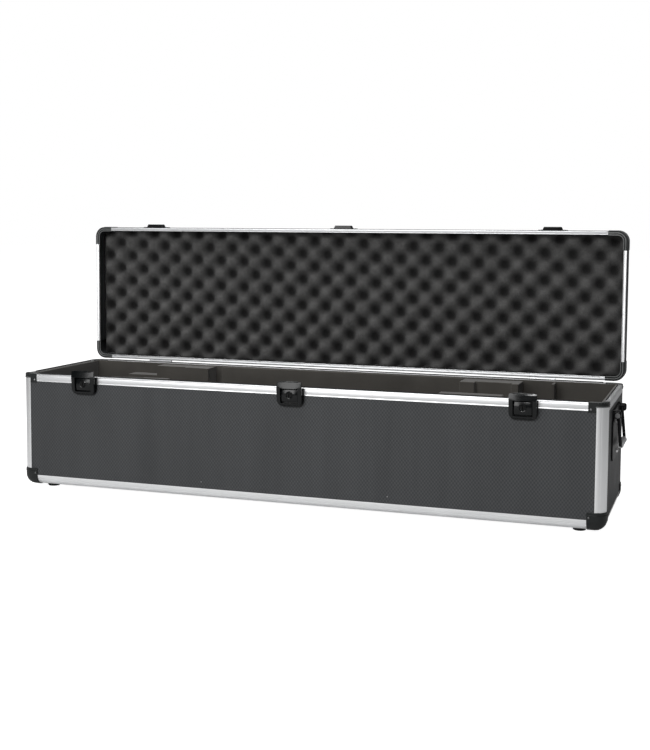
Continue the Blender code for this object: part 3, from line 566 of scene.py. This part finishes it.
def lid_ring(profile):
    """Sweep (inset, height) points round the lid; height runs from the rim plane to the lid's outer face."""
    bm = bmesh.new()
    middle = (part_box("lid_frame")[0].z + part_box("lid_frame")[1].z) / 2
    rings = []
    for inset, height in profile:
        path = rounded_rectangle(HALF_X - inset, HALF_Y - inset, max(RADIUS - inset, 0.001))
        rings.append([bm.verts.new((x, RIM_PLANE + height, middle + z)) for x, z in path])
    for ring, following in zip(rings, rings[1:] + rings[:1]):
        bridged(bm, ring, following)
    bmesh.ops.recalc_face_normals(bm, faces=bm.faces)
    return bm


def grooved_line(start, end, grooves):
    """Points along a flat face between two heights, with shallow grooves across it: (depth, height)."""
    stops = {start, end}
    for groove in grooves:
        stops |= {groove + GROOVE_WIDTH * k for k in (-1.2, -0.5, 0, 0.5, 1.2)}
    points = []
    for stop in sorted(stops, reverse=start > end):
        gap = min(abs(stop - groove) for groove in grooves)
        points.append((GROOVE_DEPTH * math.exp(-(gap / (0.6 * GROOVE_WIDTH)) ** 2), stop))
    return points


# Aluminium profiles of the body

def rounded_outline(sign_a, sign_b, corner_a, corner_b):
    """Section of a rounded profile at a corner: a fluted quarter round with a flange behind each panel."""
    back = SEAT + FLANGE
    reach = RADIUS + REACH
    inner = RADIUS - SKIN
    lean = math.degrees(math.asin((RADIUS - back) / inner))
    outline = fluted_arc((RADIUS, RADIUS), RADIUS, 180, 270, FLUTES)
    outline += [(RADIUS, SEAT), (reach, SEAT), (reach, back)]
    outline += arc((RADIUS, RADIUS), inner, 180 + lean, 270 - lean, 4)
    outline += [(back, reach), (SEAT, reach), (SEAT, RADIUS)]
    return [(corner_a - sign_a * a, corner_b - sign_b * b) for a, b in outline]


def along(node, axis):
    """Where a node starts and ends on one axis."""
    low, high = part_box(node)
    index = "XYZ".index(axis)
    return low[index], high[index]


def build_profile(node, outline, axis, material=None):
    """Put a prism of the given section in the place of a node, over the node's own length."""
    bar = prism(outline, axis, *along(node, axis))
    piece = new_piece(f"{node}_piece", bar, material or ALUMINIUM[axis], CASE)
    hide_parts(node)


def build_body_profiles():
    """The four corner posts and the four bottom rails."""
    for side, face, sign_x, sign_y in CORNERS:
        outline = rounded_outline(sign_x, sign_y, sign_x * HALF_X, sign_y * HALF_Y)
        build_profile(f"corner_post_{face}_{side}", outline, "Z")
    for name, sign in (("front", -1), ("rear", 1)):
        outline = rounded_outline(sign, -1, sign * HALF_Y, BASE)
        build_profile(f"bottom_rail_{name}", outline, "X", RAIL_ALUMINIUM_PAINTED_LIGHT)
    for name, sign in SIDES:
        build_profile(f"bottom_rail_{name}", rounded_outline(sign, -1, sign * HALF_X, BASE), "Y")


def build_rim():
    """Flat rim profile: grooved outer face and contact face, with a dust seal short of the corners."""
    ease = 0.0008
    seal_inset = 0.0074
    seal_end = 0.0012          # left free beside a corner cover
    inner = seal_inset + 0.0014
    face = grooved_line(-RIM_HEIGHT, -ease, (-RIM_HEIGHT + 0.0022, -0.0026))
    outline = face + [(ease, 0), (inner, 0), (inner, -RIM_HEIGHT - REACH), (SEAT, -RIM_HEIGHT - REACH),
                      (SEAT, -RIM_HEIGHT)]
    seal = [(seal_inset, -0.001), (seal_inset, LIP - 0.0005), (seal_inset + 0.0003, LIP - 0.0001),
            (inner - 0.0004, LIP), (inner - 0.0001, LIP - 0.0004), (inner - 0.0001, -0.001)]
    for name, axis, sign in (("front", "X", -1), ("rear", "X", 1), ("left", "Y", -1), ("right", "Y", 1)):
        far, half = (HALF_Y, HALF_X) if axis == "X" else (HALF_X, HALF_Y)
        run = half - CORNER_LEG - seal_end
        build_profile(f"rim_rail_{name}", [(sign * (far - a), BODY_TOP + b) for a, b in outline], axis)
        laid = [(sign * (far - a), BODY_TOP + b) for a, b in seal]
        new_piece(f"rim_seal_{name}", prism(laid, axis, -run, run), RUBBER, CASE)


# Lid shell

def build_lid_shell():
    """Straight rim profiles between the corner covers, a laminate strip and a rounded edge profile."""
    low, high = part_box("lid_frame")
    strip_end = LID_DEPTH - RADIUS
    ease = 0.0010
    inner_ease = 0.0006
    back = 0.0025
    front = [(inset, cut) for cut, inset in grooved_line(ease, RIM_WIDTH - inner_ease, (0.0049,))]
    section = [(0, RIM_WALL), (0, ease)] + front
    section += [(RIM_WIDTH, inner_ease), (RIM_WIDTH, back), (SKIN, back), (SKIN, RIM_WALL)]
    for name, sign, edge in (("upper", 1, high.z), ("lower", -1, low.z)):
        run = HALF_X - CORNER_LEG - LID_JOIN
        outline = [(RIM_PLANE + depth, edge - sign * inset) for inset, depth in section]
        level = prism(outline, "X", -run, run)
        # the upper and lower rims take a darker copy of the aluminium than the side rims: painted shade
        new_piece(f"lid_rim_{name}", level, LID_ALUMINIUM_PAINTED_SHADE, LID)
    for name, sign in SIDES:
        outline = [(sign * (HALF_X - inset), RIM_PLANE + depth) for inset, depth in section]
        upright = prism(outline, "Z", low.z + CORNER_LEG + LID_JOIN, high.z - CORNER_LEG - LID_JOIN)
        new_piece(f"lid_rim_{name}", upright, ALUMINIUM["Z"], LID)
    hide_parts("lid_frame")
    outer = -SIDE_PROUD
    strip = [(0.0004, RIM_WALL + LID_JOIN), (outer, RIM_WALL + 0.0008), (outer, strip_end - 0.0010),
             (0.0002, strip_end - LID_JOIN), (SKIN, strip_end - LID_JOIN), (SKIN, 0.0028), (0.0004, 0.0028)]
    new_piece("lid_side_laminate", lid_ring(strip), LAMINATE["XY"], LID)
    back = LID_DEPTH - SEAT
    edge = fluted_arc((RADIUS, strip_end), RADIUS, 180, 90, [360 - angle for angle in FLUTES])
    edge += [(RADIUS, back), (RADIUS + REACH, back), (RADIUS + REACH, back - FLANGE)]
    inner = RADIUS - SKIN
    lean = math.degrees(math.asin((back - FLANGE - strip_end) / inner))
    edge += arc((RADIUS, strip_end), inner, 180 - lean, 180, 6)
    new_piece("lid_edge_profile", lid_ring(edge), ALUMINIUM["X"], LID)


# Corner pieces

def corner_path(sign_a, sign_b, corner_a, corner_b, leg_a, leg_b, inset):
    """An L-shaped line round a corner at an inset, rounded like the profile, as (a, b) points."""
    radius = max(RADIUS - inset, 0.002)
    centre = (inset + radius, inset + radius)
    points = [(inset, leg_b)] + arc(centre, radius, 180, 270, 14) + [(leg_a, inset)]
    return [(corner_a - sign_a * a, corner_b - sign_b * b) for a, b in points]


def bead(bm, corner, legs, inset, axis, level, radius):
    """A bead round a corner, at one level of an axis."""
    path = corner_path(*corner, *legs, inset)
    tube(bm, [(a, level, b) if axis == "Y" else (a, b, level) for a, b in path], radius, BEAD_SIDES)


def build_corner_covers():
    """Ridged covers: beads run round each corner on the rim side and round the outside."""
    lid_low, lid_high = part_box("lid_frame")
    for side, face, sign_x, sign_y in CORNERS:
        # the lid's front edge is at the top while it stands open
        sign_z = -sign_y
        lid_corner = (sign_x, sign_z, sign_x * HALF_X, lid_high.z if sign_z > 0 else lid_low.z)
        body_corner = (sign_x, sign_y, sign_x * HALF_X, sign_y * HALF_Y)

        node = f"lid_corner_{face}_{side}"
        beads = bmesh.new()
        plate_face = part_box(node)[0].y
        for inset, radius in LID_FACE_BEADS:
            bead(beads, lid_corner, LID_LEGS, inset, "Y", plate_face + radius - BEAD_SUNK, radius)
        for inset, level, radius in LID_SIDE_BEADS:
            bead(beads, lid_corner, LID_LEGS, inset, "Y", RIM_PLANE + level, radius)
        # the beads take the lighter plastic: painted highlight
        refined(node, BLACK_PLASTIC, 0.0006, 3, beads, extra_material=BEAD_PLASTIC_PAINTED_HIGHLIGHT)

        beads = bmesh.new()
        inset, level, radius = BODY_BEAD
        bead(beads, body_corner, BODY_LEGS, inset, "Z", BASE + level, radius)
        refined(f"bottom_corner_{face}_{side}", BLACK_PLASTIC, 0.0006, 3, beads)

        node = f"top_bracket_{face}_{side}"
        beads = bmesh.new()
        # these run between the beads of the lid's cover when the lid is shut
        for inset, level, radius in BRACKET_BEADS:
            bead(beads, body_corner, BRACKET_LEGS, inset, "Z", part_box(node)[1].z - level, radius)
        inset, level, radius = POST_BEAD
        bead(beads, body_corner, POST_LEGS, inset, "Z", POST_TOP + level, radius)
        # these beads take the lighter plastic too: painted highlight
        refined(node, BLACK_PLASTIC, 0.0005, 2, beads, extra_material=BEAD_PLASTIC_PAINTED_HIGHLIGHT)


def build_feet():
    """Turned rubber feet with a hollow under the screw."""
    for side, face, _, _ in CORNERS:
        node = f"foot_{face}_{side}"
        low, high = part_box(node)
        radius = (high.x - low.x) / 2
        height = high.z - low.z
        profile = [(r * radius, h * height) for r, h in FOOT_PROFILE]
        bm = bmesh.new()
        turned(bm, profile, ((low.x + high.x) / 2, (low.y + high.y) / 2, high.z), (0, 0, -1), 40)
        foot = new_piece(f"{node}_piece", bm, RUBBER, CASE)
        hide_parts(node)


def screw_row(bm, low, high, y, z, axis):
    """The screws of one hinge leaf."""
    for part in LEAF_SCREWS:
        bolt(bm, (low.x + part * (high.x - low.x), y, z), axis, *SCREW_HEAD)


def build_rivets():
    """Bright and black rivets, one piece for each metal and body."""
    bright = bmesh.new()
    black = bmesh.new()
    for x in RAIL_RIVETS_X:
        for sign in (-1, 1):
            dome(black, (x, sign * (HALF_Y - PROUD), RAIL_RIVETS_Z), (0, sign, 0), *SMALL_HEAD)
    for _, _, sign_x, sign_y in CORNERS:
        for ground, (face_x, face_z), face_head, (end_y, end_z), end_head in CORNER_RIVETS:
            dome(black, (sign_x * face_x, sign_y * (HALF_Y + ground), face_z), (0, sign_y, 0), *face_head)
            dome(black, (sign_x * (HALF_X + ground), sign_y * end_y, end_z), (sign_x, 0, 0), *end_head)
    for _, sign in SIDES:
        for z in STUDS_Z:
            dome(bright, (sign * (HALF_X + 0.0022), 0, z), (sign, 0, 0), *STUD_HEAD)
    for name, _ in SIDES:
        low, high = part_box(f"hinge_body_leaf_{name}")
        screw_row(bright, low, high, low.y + 0.0015, low.z + 0.0052, (0, 1, 0))
    new_piece("case_bright_rivets", bright, RIVET_STEEL, CASE)
    new_piece("case_black_rivets", black, BLACK_STEEL, CASE)

    bright = bmesh.new()
    lid_low, lid_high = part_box("lid_frame")
    depth = RIM_PLANE + LID_RIVET_DEPTH
    out = SHELL - 0.0001
    for sign_x in (-1, 1):
        for z, sign_z in ((lid_high.z, 1), (lid_low.z, -1)):
            dome(bright, (sign_x * LID_RIVET_X, depth, z + sign_z * out), (0, 0, sign_z), *SMALL_HEAD)
            end_z = z - sign_z * LID_RIVET_BELOW
            dome(bright, (sign_x * (HALF_X + out), depth, end_z), (sign_x, 0, 0), *SMALL_HEAD)
    for name in LATCH_NAMES:
        low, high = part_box(f"lid_keeper_{name}")
        for x in (low.x + 0.0045, high.x - 0.0045):
            dome(bright, (x, low.y + 0.0125, lid_high.z + 0.0022), (0, 0, 1), *SMALL_HEAD)
    for name, _ in SIDES:
        low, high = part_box(f"hinge_lid_leaf_{name}")
        screw_row(bright, low, high, high.y - 0.0045, low.z + 0.0002, (0, 0, -1))
    new_piece("lid_bright_rivets", bright, RIVET_STEEL, LID)


# Foam

def axis_steps(low, high, radius):
    """Coordinates across a soft block, closer together where its edge is rounded."""
    edge = radius * (1 - np.cos(np.linspace(0, math.pi / 2, 5)))[:-1]
    count = max(2, int((high - low - 2 * radius) / BOARD_SPACING) + 1)
    return np.concatenate([low + edge, np.linspace(low + radius, high - radius, count), high - edge[::-1]])


def soft_board(name, low, high, radius=0.0018, ripple=0.0003):
    """A felt-faced board of foam: rounded edges and a faintly uneven face."""
    low, high = Vector(low), Vector(high)
    steps = [axis_steps(low[k], high[k], radius) for k in range(3)]
    bm = bmesh.new()
    for fixed in range(3):
        first, second = [k for k in range(3) if k != fixed]
        for value in (low[fixed], high[fixed]):
            grid = []
            for a in steps[first]:
                row = []
                for b in steps[second]:
                    point = [0, 0, 0]
                    point[fixed], point[first], point[second] = value, a, b
                    row.append(bm.verts.new(point))
                grid.append(row)
            for i in range(len(grid) - 1):
                for j in range(len(grid[0]) - 1):
                    bm.faces.new((grid[i][j], grid[i + 1][j], grid[i + 1][j + 1], grid[i][j + 1]))
    bmesh.ops.remove_doubles(bm, verts=bm.verts, dist=0.00001)
    for vert in bm.verts:
        core = Vector([min(max(vert.co[k], low[k] + radius), high[k] - radius) for k in range(3)])
        out = (vert.co - core).normalized()
        dent = ripple * (noise.noise(vert.co * 22.0) + 0.5 * noise.noise(vert.co * 70.0) - 0.6)
        vert.co = core + out * (radius + dent)
    bmesh.ops.recalc_face_normals(bm, faces=bm.faces)
    board = new_piece(name, bm, FELT, CASE, sharp=80)
    return board


def build_lining():
    """Felt-faced floor and wall boards, and thicker boards beside the middle space."""
    low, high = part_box("foam_lining")
    floor = soft_board("lining_floor", low, (high.x, high.y, LINING_FLOOR), radius=0.0015)
    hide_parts("foam_lining")
    bottom = LINING_FLOOR + 0.0002
    top = BODY_TOP - 0.0012
    for name, sign in (("front", -1), ("rear", 1)):
        y = sorted((sign * high.y, sign * (high.y - WALL_BOARD)))
        soft_board(f"lining_{name}", (low.x, y[0], bottom), (high.x, y[1], top))
        y = sorted((sign * (high.y - WALL_BOARD - 0.0001), sign * (high.y - WALL_BOARD - PAD_BOARD)))
        soft_board(f"lining_pad_{name}", (PAD_X[0], y[0], bottom), (PAD_X[1], y[1], high.z), ripple=0.0004)
    for name, sign in SIDES:
        x = sorted((sign * high.x, sign * (high.x - WALL_BOARD)))
        inner = high.y - WALL_BOARD - 0.0002
        soft_board(f"lining_{name}", (x[0], -inner, bottom), (x[1], inner, top))


def build_cut_foam(node, edge):
    """A cut foam board or block: the CAD solid with soft edges and a faintly uneven face."""
    def uneven(bm):
        low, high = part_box(node)
        for index, axis in enumerate("XYZ"):
            size = high[index] - low[index]
            parts = int(size / CUT_SPACING)
            sliced(bm, axis, [low[index] + size * (k + 0.5) / parts for k in range(parts)])
        bm.normal_update()
        shifts = [vert.normal * CUT_RIPPLE * (noise.noise(vert.co * 26.0) - 0.7) for vert in bm.verts]
        for vert, shift in zip(bm.verts, shifts):
            vert.co += shift
    piece = refined(node, FELT, edge, 3, reshape=uneven)


def crate_face(x, z, low, high):
    """The y of the egg-crate face at one place: staggered crests and pits, rough, rolled back at the edge."""
    sway = PIT_SWAY * noise.noise(Vector((x * 7, 3.1, z * 7)))
    rise = PIT_SWAY * noise.noise(Vector((x * 7, 9.7, z * 7)))
    place = (x + sway - PIT_AT[0], z + rise - PIT_AT[1])
    along_row, up_rows = (c[0] * place[0] + c[1] * place[1] for c in (PITS_ALONG, PITS_UP))
    wave = math.cos(2 * math.pi * along_row) * math.cos(2 * math.pi * up_rows)
    level = 0.5 + 0.5 * wave
    depth = PIT_SLOPE * level + (PIT_DEPTH - PIT_SLOPE) * level ** PIT_STEEPNESS
    depth -= CREST_RISE * max(0.0, -wave) ** 2
    rough = 0.0005 * noise.noise(Vector((x, 0, z)) * 160) + 0.0007 * noise.noise(Vector((x, 5, z)) * 60)
    edge = min(x - low.x, high.x - x, z - low.z, high.z - z)
    roll = EDGE_ROLL * max(0.0, 1 - edge / EDGE_BAND) ** 2
    return low.y + CREST_BACK + depth + rough + roll


def even_steps(low, high):
    """Coordinates for the foam's grid."""
    return np.arange(low, high + 1e-6, (high - low) / round((high - low) / FOAM_SPACING))


def build_lid_foam():
    """Egg-crate foam over the whole lid, with cut sides."""
    low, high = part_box("lid_foam")
    bm = bmesh.new()
    grid = [[bm.verts.new((x, crate_face(x, z, low, high), z)) for x in even_steps(low.x, high.x)]
            for z in even_steps(low.z, high.z)]
    for row, following in zip(grid, grid[1:]):
        for k in range(len(row) - 1):
            bm.faces.new((row[k], row[k + 1], following[k + 1], following[k]))
    border = grid[0] + [row[-1] for row in grid[1:]] + grid[-1][-2::-1] + [row[0] for row in grid[-2:0:-1]]
    shoulder_y = high.y - FOAM_SHOULDER
    shoulder = [bm.verts.new((v.co.x, max(shoulder_y, v.co.y + 0.0005), v.co.z)) for v in border]
    x_ends = (low.x + FOAM_BACK_INSET, high.x - FOAM_BACK_INSET)
    z_ends = (low.z + FOAM_BACK_INSET, high.z - FOAM_BACK_INSET)
    back = [bm.verts.new((min(max(v.co.x, x_ends[0]), x_ends[1]), high.y,
                          min(max(v.co.z, z_ends[0]), z_ends[1]))) for v in border]
    bridged(bm, border, shoulder)
    bridged(bm, shoulder, back)
    bm.faces.new(back)
    bmesh.ops.remove_doubles(bm, verts=back, dist=0.000001)
    bmesh.ops.recalc_face_normals(bm, faces=bm.faces)
    pad = new_piece("lid_egg_crate_foam", bm, LID_FOAM, LID, sharp=75)
    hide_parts("lid_foam")


# Latches

def pillow_housing(x, z):
    """Reshape rule for the lock housing: its front face falls away towards its edges."""
    half_x, half_z = HOUSING_HALF

    def reshape(bm):
        sliced(bm, "X", [x + k * half_x for k in (-0.85, -0.65, -0.4, -0.15, 0.15, 0.4, 0.65, 0.85)])
        sliced(bm, "Z", [z + k * half_z for k in (-0.8, -0.5, -0.2, 0.2, 0.5, 0.8)])
        for vert in bm.verts:
            if vert.co.y < -HALF_Y - HOUSING_FACE:
                across = min(abs(vert.co.x - x) / half_x, 1)
                up = min(abs(vert.co.z - z) / half_z, 1)
                fall = 0.0022 * up ** 1.7 if vert.co.z > z else 0.0014 * up ** 2.4
                vert.co.y += 0.0014 * across ** 2.4 + fall
    return reshape


def crowned_lever(x, low, high):
    """Reshape rule for a lever: a raised, sloping flap above the window and faces that curve sideways."""
    half = (high.x - low.x) / 2
    lip = high.z - LEVER_FLAP

    def reshape(bm):
        sliced(bm, "X", [x + k * half for k in (-0.94, -0.85, -0.6, -0.35, -0.12,
                                                0.12, 0.35, 0.6, 0.85, 0.94)])
        sliced(bm, "Z", [low.z + 0.007, low.z + 0.012])
        sliced(bm, "Z", [lip + k for k in (-0.010, -0.004, 0.001, 0.005, 0.010)])
        for vert in bm.verts:
            if vert.co.y > low.y + LEVER_FACE:
                continue
            across = min(abs(vert.co.x - x) / half, 1)
            if vert.co.z > lip:
                rise = 1 - (vert.co.z - lip) / (high.z - lip)
            else:
                rise = max(0.0, 1 - (lip - vert.co.z) / LEVER_FALL)
            vert.co.y += 0.0013 * across ** 2.2 - 0.0024 * rise
    return reshape


def build_latches():
    """Base with its housing, lever, keeper, key cylinder and the ring round the key."""
    for name in LATCH_NAMES:
        key_low, key_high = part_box(f"key_cylinder_{name}")
        x = (key_low.x + key_high.x) / 2
        z = (key_low.z + key_high.z) / 2
        lever = crowned_lever(x, *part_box(f"latch_lever_{name}"))
        refined(f"latch_base_{name}", ENAMEL, 0.0005, 3, reshape=pillow_housing(x, z))
        refined(f"latch_lever_{name}", ENAMEL, 0.0005, 3, reshape=lever)
        refined(f"lid_keeper_{name}", ENAMEL, 0.0010, 4)
        refined(f"key_cylinder_{name}", KEY_BLACK, 0.0003, 2)
        ring = bmesh.new()
        radius = (key_high.x - key_low.x) / 2 + 0.0003
        profile = [(radius, -SUNK), (radius + 0.0026, -SUNK), (radius + 0.0024, 0.0003),
                   (radius + 0.0014, 0.0008), (radius + 0.0004, 0.0005), (radius, -0.0004)]
        turned(ring, profile, (x, key_low.y + SUNK, z), (0, -1, 0), 32)
        new_piece(f"key_ring_{name}", ring, ENAMEL, CASE)


def build_hinges():
    for name, _ in SIDES:
        refined(f"hinge_body_leaf_{name}", ZINC, 0.0003)
        refined(f"hinge_lid_leaf_{name}", ZINC, 0.0003)


# End handles

def bail_path(end):
    """The bail's centre line as (out, y, z), from one end of its pin to the other."""
    quarter = np.linspace(0, math.pi / 2, 7)
    half = [(0, end, 0), (0, BAIL_SPAN + 0.010, 0)]
    half += [(0, BAIL_SPAN + BAIL_BEND * (1 - math.sin(a)), -BAIL_BEND + BAIL_BEND * math.cos(a))
             for a in quarter]
    half += [(BAIL_LEAN * k, BAIL_SPAN, -BAIL_BEND + k * (2 * BAIL_BEND - BAIL_DROP))
             for k in (0.25, 0.5, 0.75)]
    half += [(BAIL_LEAN, BAIL_SPAN - BAIL_BEND + BAIL_BEND * math.cos(a),
              -BAIL_DROP + BAIL_BEND - BAIL_BEND * math.sin(a)) for a in quarter]
    return [(out, -y, z) for out, y, z in half] + list(reversed(half))


def grip_profile():
    """The ribbed grip as (radius, place along the rod)."""
    collar = GRIP + 0.0004
    valley = GRIP - 0.0008
    eased = GRIP - 0.0004
    profile = [(BAIL_ROD, -GRIP_END), (eased, -GRIP_END), (collar, -0.0328), (collar, -0.0300)]
    for k in range(GRIP_RIBS):
        y = -0.0288 + 0.0576 * k / (GRIP_RIBS - 1)
        profile += [(valley, y - 0.0016), (GRIP, y - 0.0010), (GRIP, y + 0.0010), (valley, y + 0.0016)]
    return profile + [(collar, 0.0306), (collar, 0.0328), (eased, GRIP_END), (BAIL_ROD, GRIP_END)]


def build_handles():
    """Backplate, bent rod, the pin's knuckles and the grip."""
    for name, sign in SIDES:
        bail = f"handle_bail_{name}"
        refined(f"handle_bracket_{name}", POWDER_COAT, 0.0006, 3)
        joint = next(j for j in frame["joints"] if j["name"] == f"handle_{name}_swing")
        pivot = Vector(joint["pos_m"])
        bm = bmesh.new()
        path = bail_path(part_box(bail)[1].y)
        tube(bm, [pivot + Vector((sign * out, y, z)) for out, y, z in path], BAIL_ROD, 16)
        bar = new_piece(f"handle_rod_{name}", bm, POWDER_COAT, bail)
        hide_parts(bail)
        barrels = bmesh.new()
        for y, radius in KNUCKLES:
            lobe = [(0, -0.0021), (radius - 0.0009, -0.0021), (radius, -0.0012), (radius, 0.0012),
                    (radius - 0.0009, 0.0021), (0, 0.0021)]
            for place in (pivot + Vector((0, y, 0)), pivot - Vector((0, y, 0))):
                turned(barrels, lobe, place, (0, 1, 0), 24)
        new_piece(f"handle_knuckles_{name}", barrels, KNUCKLE_GREY, CASE)
        bm = bmesh.new()
        turned(bm, grip_profile(), pivot + Vector((sign * BAIL_LEAN, 0, -BAIL_DROP)), (0, 1, 0), 28)
        new_piece(f"handle_grip_{name}", bm, GRIP_GREY, bail)


def finish_panels():
    """The panels stay as CAD nodes and take the laminate of their own plane."""
    planes = {"front_panel": "XZ", "rear_panel": "XZ", "left_end_panel": "YZ", "right_end_panel": "YZ",
              "bottom_panel": "XY", "lid_panel": "XZ"}
    for node, plane in planes.items():
        NODES[node].data.materials.clear()
        NODES[node].data.materials.append(LAMINATE[plane])


# Stage

def seen_by_camera(tree, seen, unseen):
    """A strength that is one number where the camera looks straight at it and another in the room's light."""
    path = tree.nodes.new("ShaderNodeLightPath")
    mix = tree.nodes.new("ShaderNodeMix")
    mix.inputs["A"].default_value = unseen
    mix.inputs["B"].default_value = seen
    tree.links.new(path.outputs["Is Camera Ray"], mix.inputs["Factor"])
    return mix.outputs["Result"]


def build_stage():
    """White paper under the case, a room that is white for the camera and dim otherwise, and the lamps."""
    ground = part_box("foot_front_left")[0].z - 0.0001
    bpy.ops.mesh.primitive_plane_add(size=FLOOR_SIZE, location=(0, 0, ground))
    floor = bpy.context.object
    floor.name = "floor"
    paper = Finish("pale_floor", 0.9, specular=0.0)
    paper.colour(paper.blend(paper.noise(3.0), *FLOOR_TINTS))
    paper.shader.inputs["Emission Color"].default_value = (1.0, 1.0, 1.0, 1.0)
    glow = seen_by_camera(paper.material.node_tree, *FLOOR_GLOW)
    paper.links.new(glow, paper.shader.inputs["Emission Strength"])
    floor.data.materials.append(paper.material)
    world = bpy.data.worlds.new("studio")
    bpy.context.scene.world = world
    world.use_nodes = True
    sky = world.node_tree.nodes["Background"]
    sky.inputs["Color"].default_value = (1.0, 1.0, 1.0, 1.0)
    world.node_tree.links.new(seen_by_camera(world.node_tree, *ROOM_GLOW), sky.inputs["Strength"])
    for name, place, aim, size, power in SOFT_BOXES:
        lamp = bpy.data.lights.new(name, "AREA")
        lamp.shape = "RECTANGLE"
        lamp.size, lamp.size_y = size
        lamp.energy = power
        obj = bpy.data.objects.new(name, lamp)
        bpy.context.scene.collection.objects.link(obj)
        obj.location = place
        obj.rotation_euler = (Vector(aim) - Vector(place)).to_track_quat("-Z", "Y").to_euler()


def build_camera():
    """The camera that was fitted to the photograph."""
    data = bpy.data.cameras.new("camera")
    camera = bpy.data.objects.new("camera", data)
    bpy.context.scene.collection.objects.link(camera)
    bpy.context.scene.camera = camera
    tilt, roll, heading = (math.radians(a) for a in CAMERA_TURN)
    turn = Matrix.Rotation(heading, 4, "Z") @ Matrix.Rotation(tilt, 4, "X") @ Matrix.Rotation(roll, 4, "Z")
    camera.matrix_world = Matrix.Translation(CAMERA_PLACE) @ turn
    data.sensor_fit = "HORIZONTAL"
    data.sensor_width = 36
    data.lens = CAMERA_LENS
    data.shift_x, data.shift_y = CAMERA_SHIFT
    bpy.context.scene.view_settings.view_transform = "Standard"


build_camera()
build_stage()
finish_panels()
build_body_profiles()
build_rim()
build_lid_shell()
build_corner_covers()
build_feet()
build_rivets()
build_lining()
build_cut_foam("cradle_left", 0.0022)
build_cut_foam("cradle_right", 0.0022)
build_cut_foam("accessory_divider", 0.0012)
build_lid_foam()
build_latches()
build_hinges()
build_handles()
